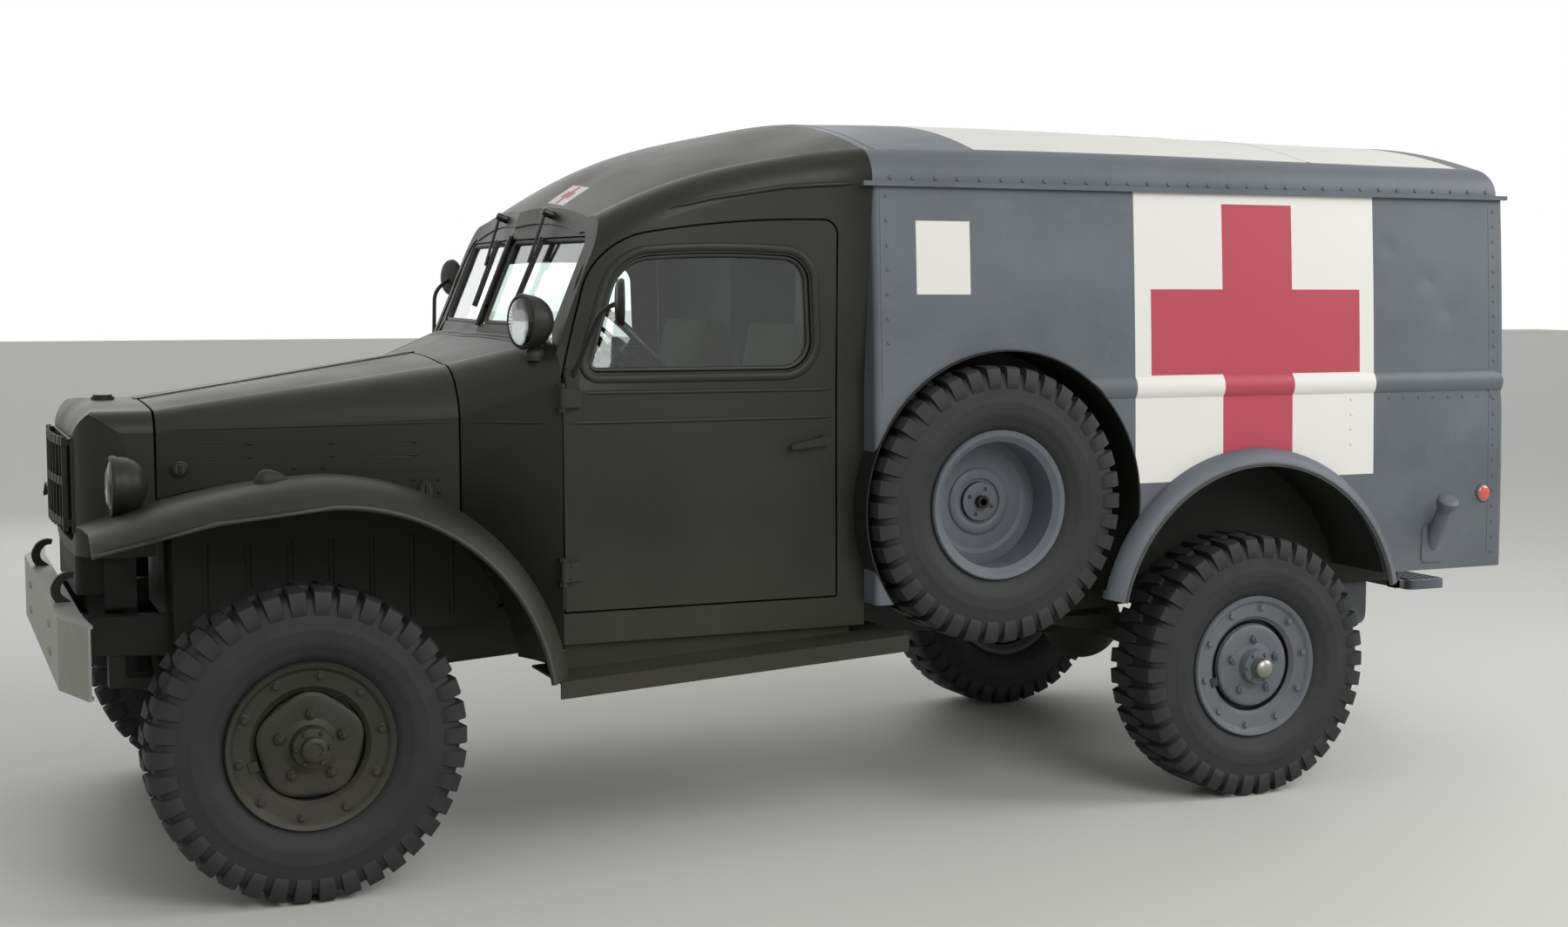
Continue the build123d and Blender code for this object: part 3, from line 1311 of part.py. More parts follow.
with BuildPart() as all_lamps:
    add(lamps.part)
    add(spotlight.part)
save(all_lamps.part, "lamps")

# Mirrors on the doors' front edges: side, foot, elbow and head centre
mirror_rows = [
    ("left", -1, (772, 800, 1405), (812, 950, 1600), (858, 985, 1625)),
    ("right", 1, (772, 800, 1405), (812, 950, 1650), (880, 985, 1700)),
]
mirror_radius, mirror_depth = 64, 22
for name, side, foot, elbow, head in mirror_rows:
    places = [(at(x), side * y, z) for x, y, z in (foot, elbow, head)]
    with BuildPart() as door_mirror:
        with BuildLine() as arm_line:
            FilletPolyline(*places, radius=40)
        with BuildSketch(Plane(origin=arm_line.line @ 0, z_dir=arm_line.line % 0)):
            Circle(7)
        sweep(path=arm_line.line)
        with BuildSketch(Plane.YZ.offset(places[2][0] - 4)):
            with Locations((places[2][1], places[2][2])):
                Circle(mirror_radius)
        extrude(amount=mirror_depth)
        with BuildSketch(Plane.XZ.offset(-side * 795 - (25 if side > 0 else 0))):
            with Locations((places[0][0], places[0][2])):
                RectangleRounded(40, 60, 8)
        extrude(amount=25)
        add(door_left.part if side < 0 else door_right.part, mode=Mode.SUBTRACT)
        with BuildSketch(Plane.XZ.offset(-side * 600 - 100)):
            with Locations((places[0][0], places[0][2])):
                Rectangle(300, 300)
        extrude(amount=200, mode=Mode.SUBTRACT)
    save(door_mirror.part, f"mirror_{name}")
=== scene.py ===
import json
from math import cos, pi, radians, sin, tau

import bmesh
import bpy
from mathutils import Euler, Matrix, Vector
from mathutils.bvhtree import BVHTree

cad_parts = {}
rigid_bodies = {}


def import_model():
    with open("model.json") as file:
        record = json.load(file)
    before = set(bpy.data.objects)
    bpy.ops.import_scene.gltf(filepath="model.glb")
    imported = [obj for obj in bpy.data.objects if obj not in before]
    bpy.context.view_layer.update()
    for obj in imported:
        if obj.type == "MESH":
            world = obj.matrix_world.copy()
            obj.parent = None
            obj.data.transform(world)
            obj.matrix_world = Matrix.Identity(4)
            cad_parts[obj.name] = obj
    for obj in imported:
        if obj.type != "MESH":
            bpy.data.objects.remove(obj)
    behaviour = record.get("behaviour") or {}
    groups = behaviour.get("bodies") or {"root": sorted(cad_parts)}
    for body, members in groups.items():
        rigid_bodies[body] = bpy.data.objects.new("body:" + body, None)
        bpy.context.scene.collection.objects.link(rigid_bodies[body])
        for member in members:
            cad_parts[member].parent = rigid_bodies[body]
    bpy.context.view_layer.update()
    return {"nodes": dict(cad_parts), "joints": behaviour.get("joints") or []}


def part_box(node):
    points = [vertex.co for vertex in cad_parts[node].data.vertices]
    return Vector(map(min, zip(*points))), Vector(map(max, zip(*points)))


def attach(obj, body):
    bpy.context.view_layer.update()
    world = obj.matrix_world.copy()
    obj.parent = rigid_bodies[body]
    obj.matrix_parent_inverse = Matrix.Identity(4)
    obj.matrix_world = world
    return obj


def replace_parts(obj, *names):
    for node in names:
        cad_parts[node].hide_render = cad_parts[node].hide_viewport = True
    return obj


bl_info = {
    "name": "Field Ambulance Dressing",
    "version": (1, 0, 0),
    "blender": (4, 5, 0),
    "location": "View3D > Sidebar > Ambulance",
    "description": "Paint, tyres, lamps, seals, seats and fittings round the truck's frame",
    "category": "Add Mesh",
}

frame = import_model()

# Places that come with the frame: the wheels' centres, the root body's name and the spare tyre's middle
joints = {joint["name"]: joint for joint in frame["joints"]}
hub_names = ("front_left", "front_right", "rear_left", "rear_right")
hubs = {name: Vector(joints[f"spin_{name}"]["pos_m"]) for name in hub_names}
truck = joints["spin_rear_left"]["parent"]
front_axle_x = hubs["front_left"].x
spare_centre = sum(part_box("tyre_spare"), Vector()) / 2
LEFT, RIGHT = -1, 1
SIDES = {"left": LEFT, "right": RIGHT}


def spot(x, y, z):
    """Point from millimetres: x behind the front axle, y to the truck's right, z above the floor."""
    return Vector((front_axle_x + x / 1000, y / 1000, z / 1000))


def beside(place, side):
    """Point from millimetres whose y counts outwards on one side."""
    x, y, z = place
    return spot(x, side * y, z)


def srgb(code):
    """Linear colour with alpha from an sRGB hex value."""
    parts = [int(code[i:i + 2], 16) / 255 for i in (1, 3, 5)]
    linear = [part / 12.92 if part <= 0.04045 else ((part + 0.055) / 1.055) ** 2.4 for part in parts]
    return linear + [1.0]


# Shapes

def stand(origin, axis):
    """Matrix at origin whose Z runs along axis and whose X lies level."""
    z = Vector(axis).normalized()
    x = Vector((0, 0, 1)).cross(z)
    x = x.normalized() if x.length > 1e-6 else Vector((1, 0, 0))
    return Matrix.Translation(origin) @ Matrix((x, z.cross(x), z)).transposed().to_4x4()


def circle(radius, steps):
    """Round outline in millimetres."""
    return [(radius * cos(tau * i / steps), radius * sin(tau * i / steps)) for i in range(steps)]


def half_round(width, height, steps):
    """Half round section, flat side down, in millimetres."""
    turns = [pi * i / (steps - 1) for i in range(steps)]
    return [(-width / 2 * cos(turn), height * sin(turn)) for turn in turns]


def strip_rows(places, sections, closed=False):
    """Sections of across and out pairs in millimetres, stood on pairs of point and outward direction."""
    rows = []
    count = len(places)
    for i, ((point, out), section) in enumerate(zip(places, sections)):
        before = places[i - 1][0] if closed or i else places[0][0]
        after = places[(i + 1) % count][0] if closed or i < count - 1 else places[-1][0]
        along = (after - before).normalized()
        across = along.cross(out).normalized()
        rise = across.cross(along).normalized()
        rows.append([point + across * (u / 1000) + rise * (v / 1000) for u, v in section])
    return rows


# How far the foot of an applied strip is sunk in the sheet, in millimetres
SINK = 1.0


class Shape:
    """Mesh under construction, in the frame's metres."""

    def __init__(self):
        self.mesh = bmesh.new()

    def rings(self, rows, closed_rows=False):
        """Skin over rows of points that all have the same count, capped unless the rows close."""
        made = [[self.mesh.verts.new(point) for point in row] for row in rows]
        count = len(made[0])
        for first, second in zip(made, made[1:] + (made[:1] if closed_rows else [])):
            for i in range(count):
                j = (i + 1) % count
                self.mesh.faces.new((first[i], first[j], second[j], second[i]))
        if not closed_rows:
            self.mesh.faces.new(made[0][::-1])
            self.mesh.faces.new(made[-1])
        return self

    def turn(self, profile, place, steps=48, loop=False):
        """Solid of revolution about the place's Z, from radius and height pairs in millimetres."""
        rows = []
        for radius, height in profile:
            rows.append([place @ (Vector((x, y, height)) / 1000) for x, y in circle(radius, steps)])
        return self.rings(rows, closed_rows=loop)

    def sweep(self, section, path, out):
        """Closed section of across and out pairs in millimetres, along a path with one outward direction."""
        out = Vector(out)
        return self.rings(strip_rows([(point, out) for point in path], [section] * len(path)))

    def bead(self, places, width, height, closed=False, steps=7):
        """Half round strip along pairs of point and outward direction, its foot sunk a little.

        Width and height are in millimetres, each a number or a list with one for each place.
        """
        widths = width if isinstance(width, list) else [width] * len(places)
        heights = height if isinstance(height, list) else [height] * len(places)
        sections = []
        for wide, high in zip(widths, heights):
            sections.append(half_round(wide, high, steps) + [(wide / 2, -SINK), (-wide / 2, -SINK)])
        return self.rings(strip_rows(places, sections, closed), closed_rows=closed)

    def prism(self, outline, low_y, high_y):
        """Plate with an outline of x and z pairs in millimetres, between two y."""
        return self.rings([[spot(x, y, z) for x, z in outline] for y in (low_y, high_y)])

    def block(self, x_range, y_range, z_range):
        """Plain block between pairs of millimetres."""
        (x0, x1), (z0, z1) = x_range, z_range
        return self.prism([(x0, z0), (x1, z0), (x1, z1), (x0, z1)], *y_range)

    def slab(self, outline, place, low, high, rim=0.0):
        """Plate with an outline of millimetre pairs in the place's XY, its outer edge eased by rim."""
        centre = Vector((sum(x for x, _ in outline), sum(y for _, y in outline))) / len(outline)
        rows = []
        for height, pull in ((low, 0), (high - rim, 0), (high, rim)):
            row = []
            for point in outline:
                arm = Vector(point) - centre
                x, y = centre + arm - arm.normalized() * pull
                row.append(place @ (Vector((x, y, height)) / 1000))
            rows.append(row)
        return self.rings(rows)

    def plain_mesh(self, name):
        """Mesh with its faces turned outwards."""
        bmesh.ops.recalc_face_normals(self.mesh, faces=self.mesh.faces)
        mesh = bpy.data.meshes.new(name)
        self.mesh.to_mesh(mesh)
        self.mesh.free()
        return mesh

    def finish(self, name, finish, body, sharp=38):
        """Welds the mesh and hands it on as a piece that rides on a body."""
        bmesh.ops.remove_doubles(self.mesh, verts=self.mesh.verts, dist=0.00002)
        return hand_on(self.plain_mesh(name), name, finish, body, sharp)


def hand_on(mesh, name, finish, body, sharp=38):
    """Makes a mesh an object with its material, its body and edges sharp from an angle."""
    mesh.shade_smooth()
    mesh.set_sharp_from_angle(angle=radians(sharp))
    mesh.materials.clear()
    mesh.materials.append(finishes[finish])
    piece = bpy.data.objects.new(name, mesh)
    bpy.context.scene.collection.objects.link(piece)
    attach(piece, body)
    return piece


def curve_points(corners, rounding, steps=5, closed=False):
    """Points of a polyline, each corner rounded by a quadratic bend of a length in the corners' unit."""
    points = []
    count = len(corners)
    for i, corner in enumerate(corners):
        if not closed and i in (0, count - 1):
            points.append(corner.copy())
            continue
        before, after = corners[i - 1], corners[(i + 1) % count]
        reach_in = min(rounding, (corner - before).length * 0.48)
        reach_out = min(rounding, (after - corner).length * 0.48)
        start = corner + (before - corner).normalized() * reach_in
        end = corner + (after - corner).normalized() * reach_out
        for step in range(steps + 1):
            t = step / steps
            points.append(start * (1 - t) ** 2 + corner * 2 * t * (1 - t) + end * t ** 2)
    return points


def skin_of(*nodes):
    """Search tree over the faces of CAD nodes."""
    points, faces = [], []
    for node in nodes:
        mesh = frame["nodes"][node].data
        start = len(points)
        points += [vertex.co.copy() for vertex in mesh.vertices]
        faces += [[start + index for index in face.vertices] for face in mesh.polygons]
    return BVHTree.FromPolygons(points, faces)


def on_skin(skin, start, direction):
    """Point and outward direction where a ray meets a skin."""
    direction = Vector(direction)
    hit, normal, _, _ = skin.ray_cast(start, direction)
    if hit is None:
        raise RuntimeError(f"no skin met from {tuple(start)}")
    return hit, (-normal if normal.dot(direction) > 0 else normal)


def on_side(skin, x, z, side):
    """Place on a side skin at x and z in millimetres, seen from beside the truck."""
    return on_skin(skin, spot(x, side * 1600, z), (0, -side, 0))


def all_on_side(skin, pairs, side):
    """Places on a side skin at pairs of x and z."""
    return [on_side(skin, x, z, side) for x, z in pairs]


def on_top(skin, x, y):
    """Place on a skin at x and y in millimetres, seen from above the truck."""
    return on_skin(skin, spot(x, y, 2600), (0, 0, -1))


def along_line(points, spacing):
    """Points every so often along a polyline of number pairs."""
    result = [Vector(points[0])]
    for first, second in zip(points, points[1:]):
        first, second = Vector(first), Vector(second)
        steps = max(1, round((second - first).length / spacing))
        result += [first.lerp(second, i / steps) for i in range(1, steps + 1)]
    return result


def arc(first, middle, last, steps=8):
    """Points on the circle through three pairs, without the first."""
    (ax, ay), (bx, by), (cx, cy) = first, middle, last
    d = 2 * (ax * (by - cy) + bx * (cy - ay) + cx * (ay - by))
    a, b, c = ax * ax + ay * ay, bx * bx + by * by, cx * cx + cy * cy
    centre = Vector(((a * (by - cy) + b * (cy - ay) + c * (ay - by)) / d,
                     (a * (cx - bx) + b * (ax - cx) + c * (bx - ax)) / d))
    arm, half_way, end = (Vector(point) - centre for point in (first, middle, last))
    span = half_way.angle_signed(arm) + end.angle_signed(half_way)
    return [centre + Matrix.Rotation(span * i / steps, 2) @ arm for i in range(1, steps + 1)]


def grown_outline(points, distance):
    """Closed outline moved outwards by a distance."""
    count = len(points)
    middle = sum(points, Vector((0, 0))) / count
    result = []
    for i, point in enumerate(points):
        run = points[(i + 1) % count] - points[i - 1]
        out = Vector((run.y, -run.x)).normalized()
        if out.dot(point - middle) < 0:
            out = -out
        result.append(point + out * distance)
    return result


# Node trees

# Kinds of nodes. A pattern's scale is 1000 over its size in millimetres
NOISE, RANGE, MATH = "ShaderNodeTexNoise", "ShaderNodeMapRange", "ShaderNodeMath"
# A Mix node that mixes colours has them on its inputs 6 and 7, its factor on 0 and its result on output 2
MIX, FIRST, SECOND, RESULT = "ShaderNodeMix", 6, 7, 2


def fill(tree, node, inputs):
    """Links or sets a node's inputs, which come with their names or in order."""
    for key, value in (inputs.items() if isinstance(inputs, dict) else enumerate(inputs)):
        if isinstance(value, bpy.types.NodeSocket):
            tree.links.new(value, node.inputs[key])
        else:
            node.inputs[key].default_value = value


def add_node(tree, kind, inputs=(), **settings):
    """Adds a node with its settings, its values and its links, and gives its outputs."""
    node = tree.nodes.new(kind)
    for key, value in settings.items():
        setattr(node, key, value)
    fill(tree, node, inputs)
    return node.outputs


def new_material(name):
    """Material with its node tree, its shader and its Object coordinates."""
    material = bpy.data.materials.new(name)
    material.use_nodes = True
    tree = material.node_tree
    return material, tree, tree.nodes["Principled BSDF"], add_node(tree, "ShaderNodeTexCoord")["Object"]


def relief(tree, layers):
    """Normal socket of bumps laid over each other, each a height socket and a depth in millimetres."""
    below = {}
    for height, depth_mm in layers:
        normal = add_node(tree, "ShaderNodeBump", {"Height": height, "Distance": depth_mm / 1000, **below})[0]
        below = {"Normal": normal}
    return normal


def shade(colour, factor):
    """A colour made darker or lighter by a factor."""
    return [min(1.0, channel * factor) for channel in colour[:3]] + [1.0]


def rectangle_mask(tree, first, second, first_range, second_range):
    """1 inside a rectangle given by two coordinate sockets and their ranges in metres."""
    parts = []
    for socket, (low, high) in ((first, first_range), (second, second_range)):
        offset = add_node(tree, MATH, (socket, (low + high) / 2), operation="SUBTRACT")[0]
        size = add_node(tree, MATH, (offset,), operation="ABSOLUTE")[0]
        parts.append(add_node(tree, MATH, (size, (high - low) / 2), operation="LESS_THAN")[0])
    return add_node(tree, MATH, parts, operation="MULTIPLY")[0]


def closeness(tree, places, centre, radius_mm):
    """1 at a point in millimetres, falling to 0 at a radius."""
    away = add_node(tree, "ShaderNodeVectorMath", (places, spot(*centre)), operation="DISTANCE")["Value"]
    return add_node(tree, RANGE, (away, 0, radius_mm / 1000, 1, 0))[0]


# Dents in the left side: place and radius in millimetres, and their depth
DENTS = (
    ((3790, -878, 1694), 75), ((3870, -880, 1590), 90), ((3620, -875, 1800), 60), ((2260, -870, 1500), 120),
)
DENT_DEPTH = 4.0
# The sheet's own waves and the spray's grain: size in millimetres, detail, and depth in millimetres
SHEET_WAVES, SPRAY_GRAIN = (300, 1, 2.2), (2.2, 2, 0.05)


def enamel(name, colour, markings=None, gloss=0.46, dents=()):
    """Semi-matt sprayed enamel: faint clouds of tone, brushed repairs, fine grain, dust low down."""
    material, tree, shader, places = new_material(name)
    clouds = add_node(tree, NOISE, {"Vector": places, "Scale": 1000 / 420, "Detail": 4})["Fac"]
    repairs = add_node(tree, NOISE, {"Vector": places, "Scale": 1000 / 35, "Detail": 3})["Fac"]
    share = add_node(tree, RANGE, (clouds, 0.3, 0.7, 0, 1))[0]
    colours = {0: share, FIRST: shade(colour, 0.86), SECOND: shade(colour, 1.12)}
    tone = add_node(tree, MIX, colours, data_type="RGBA")[RESULT]
    share = add_node(tree, RANGE, (repairs, 0.55, 0.8, 0, 0.25))[0]
    colours = {0: share, FIRST: tone, SECOND: shade(colour, 1.35)}
    tone = add_node(tree, MIX, colours, data_type="RGBA")[RESULT]
    axes = add_node(tree, "ShaderNodeSeparateXYZ", (places,))
    if markings:
        tone = markings(tree, places, axes, tone)
    low_down = add_node(tree, RANGE, (axes["Z"], 0.25, 1.0, 0.3, 0.0))[0]
    dust = add_node(tree, MATH, (low_down, clouds), operation="MULTIPLY")[0]
    tone = add_node(tree, MIX, {0: dust, FIRST: tone, SECOND: srgb("#6d685a")}, data_type="RGBA")[RESULT]
    layers = []
    for size, detail, depth in (SHEET_WAVES, SPRAY_GRAIN):
        inputs = {"Vector": places, "Scale": 1000 / size, "Detail": detail}
        layers.append((add_node(tree, NOISE, inputs)["Fac"], depth))
    for centre, radius in dents:
        soft = add_node(tree, MATH, (closeness(tree, places, centre, radius), 2.0), operation="POWER")[0]
        layers.append((add_node(tree, RANGE, (soft, 0, 1, 1, 0))[0], DENT_DEPTH))
    matt = add_node(tree, RANGE, (clouds, 0.3, 0.7, gloss - 0.07, gloss + 0.07))[0]
    fill(tree, shader, {"Base Color": tone, "Roughness": matt, "Specular IOR Level": 0.25,
                        "Normal": relief(tree, layers)})
    return material


def rubber(name, colour, dust, grain_mm=1.2, roughness=0.72):
    """Vulcanised rubber: near black, matt, with a pale bloom of dust in soft clouds."""
    material, tree, shader, places = new_material(name)
    inputs = {"Vector": places, "Scale": 1000 / 120, "Detail": 4, "Roughness": 0.6}
    bloom = add_node(tree, NOISE, inputs)["Fac"]
    fine = add_node(tree, NOISE, {"Vector": places, "Scale": 1000 / grain_mm, "Detail": 2})["Fac"]
    share = add_node(tree, RANGE, (bloom, 0.35, 0.75, 0.0, 0.55))[0]
    tone = add_node(tree, MIX, {0: share, FIRST: colour, SECOND: dust}, data_type="RGBA")[RESULT]
    fill(tree, shader, {"Base Color": tone, "Roughness": roughness, "Normal": relief(tree, [(fine, 0.12)])})
    return material


def clear_glass(name, colour, roughness=0.0):
    """Flat safety glass: clear, very slightly green, with a thin film of dust."""
    material, tree, shader, places = new_material(name)
    dust = add_node(tree, NOISE, {"Vector": places, "Scale": 1000 / 260, "Detail": 3})["Fac"]
    film = add_node(tree, RANGE, (dust, 0.4, 0.7, roughness, roughness + 0.05))[0]
    fill(tree, shader, {"Base Color": colour, "Transmission Weight": 1.0, "IOR": 1.45, "Roughness": film})
    return material


def cast_metal(name, colour, metallic=0.0, roughness=0.6, rust=0.2):
    """Cast or forged iron: sandy surface, oily dark tones and a little rust."""
    material, tree, shader, places = new_material(name)
    inputs = {"Vector": places, "Scale": 1000 / 60, "Detail": 4, "Roughness": 0.6}
    patches = add_node(tree, NOISE, inputs)["Fac"]
    share = add_node(tree, RANGE, (patches, 0.45, 0.75, 0, rust))[0]
    tone = add_node(tree, MIX, {0: share, FIRST: colour, SECOND: srgb("#4a3323")}, data_type="RGBA")[RESULT]
    matt = add_node(tree, RANGE, (patches, 0.3, 0.7, roughness - 0.1, roughness + 0.1))[0]
    sand = add_node(tree, NOISE, {"Vector": places, "Scale": 1000 / 4, "Detail": 3})["Fac"]
    fill(tree, shader, {"Base Color": tone, "Metallic": metallic, "Roughness": matt,
                        "Normal": relief(tree, [(sand, 0.2)])})
    return material


def bright_metal(name, colour, roughness):
    """Polished or plated metal with faint smears."""
    material, tree, shader, places = new_material(name)
    smears = add_node(tree, NOISE, {"Vector": places, "Scale": 1000 / 30, "Detail": 3})["Fac"]
    matt = add_node(tree, RANGE, (smears, 0.35, 0.7, roughness, roughness + 0.12))[0]
    fill(tree, shader, {"Base Color": colour, "Metallic": 1.0, "Roughness": matt})
    return material


def coloured_lens(name, colour):
    """Moulded coloured glass with fine prisms."""
    material, tree, shader, places = new_material(name)
    prisms = add_node(tree, NOISE, {"Vector": places, "Scale": 1000 / 5, "Detail": 1})["Fac"]
    fill(tree, shader, {"Base Color": colour, "Roughness": 0.12, "Coat Weight": 0.6,
                        "Normal": relief(tree, [(prisms, 0.5)])})
    return material


def canvas(name, colour):
    """Waxed cotton duck: a plain weave of threads, drawn 2 mm apart so that it shows."""
    material, tree, shader, places = new_material(name)
    threads = []
    for way in ("X", "Y"):
        wave = add_node(tree, "ShaderNodeTexWave", {"Vector": places, "Scale": 160.0}, bands_direction=way)
        threads.append(wave["Fac"])
    weave = add_node(tree, MATH, threads, operation="MULTIPLY")[0]
    clouds = add_node(tree, NOISE, {"Vector": places, "Scale": 1000 / 90, "Detail": 3})["Fac"]
    colours = {0: clouds, FIRST: shade(colour, 0.8), SECOND: shade(colour, 1.15)}
    tone = add_node(tree, MIX, colours, data_type="RGBA")[RESULT]
    fill(tree, shader, {"Base Color": tone, "Roughness": 0.8, "Sheen Weight": 0.15,
                        "Normal": relief(tree, [(weave, 0.3)])})
    return material


# Markings. Fields: range along the truck in millimetres behind the front axle, and across or up in metres
SIDE_FIELD, SIDE_PANEL = ((2615, 3555), (1.047, 1.976)), ((1842, 2026), (1.646, 1.868))
ROOF_FIELD, BROW_FIELD = ((2085, 3980), (-0.775, 0.775)), ((900, 985), (-0.33, -0.17))
# Crosses: middle along the truck in millimetres, the other middle, width and length of the bars in metres
SIDE_CROSS = (3086, 1.526, 0.274, 0.822)
ROOF_CROSS = (3000, 0.0, 0.23, 0.66)
BROW_CROSS = (942, -0.25, 0.028, 0.078)
# Rust round the filler's foot: place and radius in millimetres
RUST_PLACE, RUST_RADIUS = (3800, -884, 780), 75


def field_mask(tree, x, other, field):
    """1 inside a field, from the socket along the truck and the other one."""
    (low, high), other_range = field
    return rectangle_mask(tree, x, other, (spot(low, 0, 0).x, spot(high, 0, 0).x), other_range)


def cross_mask(tree, x, other, cross):
    """1 inside a cross with equal arms, made of two bars."""
    middle, across, width, length = cross
    along = spot(middle, 0, 0).x
    bars = []
    for first, second in ((width / 2, length / 2), (length / 2, width / 2)):
        ranges = (along - first, along + first), (across - second, across + second)
        bars.append(rectangle_mask(tree, x, other, *ranges))
    return add_node(tree, MATH, bars, operation="MAXIMUM")[0]


def paint_marks(tree, axes, tone, marks, way):
    """Lays masked colours on faces that look away from the truck's middle along Y, or up along Z."""
    facing = add_node(tree, "ShaderNodeSeparateXYZ", (add_node(tree, "ShaderNodeTexCoord")["Normal"],))[way]
    if way == "Y":
        facing = add_node(tree, MATH, (facing, axes["Y"]), operation="MULTIPLY")[0]
    outer = add_node(tree, MATH, (facing, 0.1), operation="GREATER_THAN")[0]
    for mask, colour in marks:
        share = add_node(tree, MATH, (mask, outer), operation="MULTIPLY")[0]
        tone = add_node(tree, MIX, {0: share, FIRST: tone, SECOND: list(colour)}, data_type="RGBA")[RESULT]
    return tone


def side_markings(tree, places, axes, tone):
    """White field with a red cross, the small white panel ahead of it and the filler's rust."""
    paint = bpy.context.scene.ambulance_paint
    x, z = axes["X"], axes["Z"]
    tone = paint_marks(tree, axes, tone, (
        (field_mask(tree, x, z, SIDE_FIELD), paint.white),
        (field_mask(tree, x, z, SIDE_PANEL), paint.white),
        (cross_mask(tree, x, z, SIDE_CROSS), paint.red),
    ), "Y")
    patches = add_node(tree, NOISE, {"Vector": places, "Scale": 1000 / 18, "Detail": 4})["Fac"]
    rust = add_node(tree, RANGE, (patches, 0.42, 0.58, 0, 1))[0]
    share = (rust, closeness(tree, places, RUST_PLACE, RUST_RADIUS))
    share = add_node(tree, MATH, share, operation="MULTIPLY")[0]
    return add_node(tree, MIX, {0: share, FIRST: tone, SECOND: srgb("#6b3a24")}, data_type="RGBA")[RESULT]


def top_markings(field, cross):
    """Function that paints a white field with a red cross on faces that look up."""
    def markings(tree, places, axes, tone):
        """The tone with the field and the cross laid on it."""
        paint = bpy.context.scene.ambulance_paint
        x, y = axes["X"], axes["Y"]
        return paint_marks(tree, axes, tone, (
            (field_mask(tree, x, y, field), paint.white),
            (cross_mask(tree, x, y, cross), paint.red),
        ), "Z")
    return markings


# Materials by short name, filled by make_finishes
finishes = {}


def make_finishes():
    """All materials, from the paint settings."""
    paint = bpy.context.scene.ambulance_paint
    cab, box, chassis = list(paint.cab), list(paint.box), list(paint.chassis)
    finishes["cab"] = enamel("olive_enamel", cab)
    finishes["brow"] = enamel("olive_enamel_brow", cab, top_markings(BROW_FIELD, BROW_CROSS))
    finishes["box"] = enamel("weathered_olive_enamel", box)
    finishes["sides"] = enamel("marked_side_enamel", box, side_markings, dents=DENTS)
    finishes["roof"] = enamel("marked_roof_enamel", box, top_markings(ROOF_FIELD, ROOF_CROSS))
    finishes["chassis"] = enamel("chassis_enamel", chassis, gloss=0.6)
    finishes["white"] = enamel("off_white_enamel", srgb("#95968b"))
    # Enamel lighter than the cab's, on the rolled edges of fenders and flares and on the dial bezels
    finishes["pale"] = enamel("lighter_edge_enamel", srgb("#3e3f38"), gloss=0.4)
    finishes["tyre"] = rubber("tyre_rubber", srgb("#101113"), srgb("#242527"))
    # Black rubber of seals and wiper blades, also used for painted shadow: dark rings, plates, discs and
    # lines in the wheels' grooves, valve notches, latch wells, clamp holes and under the louvres
    finishes["seal"] = rubber("black_rubber_and_painted_shadow", srgb("#121212"), srgb("#2b2b2a"), roughness=0.55)
    finishes["glass"] = clear_glass("safety_glass", srgb("#e6efea"))
    finishes["lens"] = clear_glass("lamp_glass", srgb("#f2f4f2"), 0.02)
    finishes["iron"] = cast_metal("cast_iron", srgb("#2e2d2a"))
    finishes["exhaust"] = cast_metal("scaled_steel", srgb("#3b332d"), 0.4, 0.7, 0.6)
    finishes["steel"] = bright_metal("worn_steel", srgb("#8d8c86"), 0.32)
    finishes["mirror"] = bright_metal("silvered_glass", srgb("#dfe3e4"), 0.02)
    finishes["red_lens"] = coloured_lens("red_lens", srgb("#a3231d"))
    finishes["pale_red_lens"] = coloured_lens("red_reflector", srgb("#c4473f"))
    finishes["bakelite"] = rubber("bakelite", srgb("#141312"), srgb("#242220"), 0.8, 0.35)
    finishes["canvas"] = canvas("seat_canvas", srgb("#4f4b36"))
    finishes["dark"] = cast_metal("radiator_fins", srgb("#161614"), 0.2, 0.6, 0.1)


# CAD nodes by finish
NODE_FINISHES = {
    "cab": ("brush_guard", "cab_floor", "cowl", "door_left", "door_right", "front_fenders", "hood_left",
            "hood_right", "lamps", "mirror_left", "mirror_right", "nose_shell", "running_boards",
            "wheel_front_left", "wheel_front_right", "tow_hooks"),
    "brow": ("cab_shell",),
    "box": ("box_tub", "rear_door_left", "rear_door_right", "rear_flares", "rear_step", "wheel_rear_left",
            "wheel_rear_right", "wheel_spare", "fuel_tank"),
    "sides": ("box_side_left", "box_side_right"),
    "roof": ("box_roof",),
    "chassis": ("wheel_wells", "frame", "front_axle", "rear_axle", "knuckle_left", "knuckle_right", "tie_rod",
                "leaf_springs"),
    "white": ("front_bumper",),
    "tyre": ("tyre_front_left", "tyre_front_right", "tyre_rear_left", "tyre_rear_right", "tyre_spare"),
    "glass": ("door_glass_left", "door_glass_right", "rear_glass_left", "rear_glass_right", "windscreen"),
    "iron": ("engine_and_drive",),
    "exhaust": ("exhaust",),
    "bakelite": ("steering_wheel",),
    "canvas": ("seats",),
    "dark": ("radiator",),
}


# Geometry node trees

def new_tree(name, inputs):
    """Geometry node tree with named inputs, and its group input's outputs."""
    tree = bpy.data.node_groups.new(name, "GeometryNodeTree")
    for label, kind, default in inputs:
        item = tree.interface.new_socket(label, in_out="INPUT", socket_type=kind)
        if default is not None:
            item.default_value = default
    tree.interface.new_socket("Geometry", in_out="OUTPUT", socket_type="NodeSocketGeometry")
    return tree, add_node(tree, "NodeGroupInput")


def end_tree(tree, given, instances):
    """Realizes the instances, sets the material and ends the tree."""
    real = add_node(tree, "GeometryNodeRealizeInstances", {"Geometry": instances})["Geometry"]
    inputs = {"Geometry": real, "Material": given["Finish"]}
    add_node(tree, "NodeGroupOutput", {"Geometry": add_node(tree, "GeometryNodeSetMaterial", inputs)[0]})
    return tree


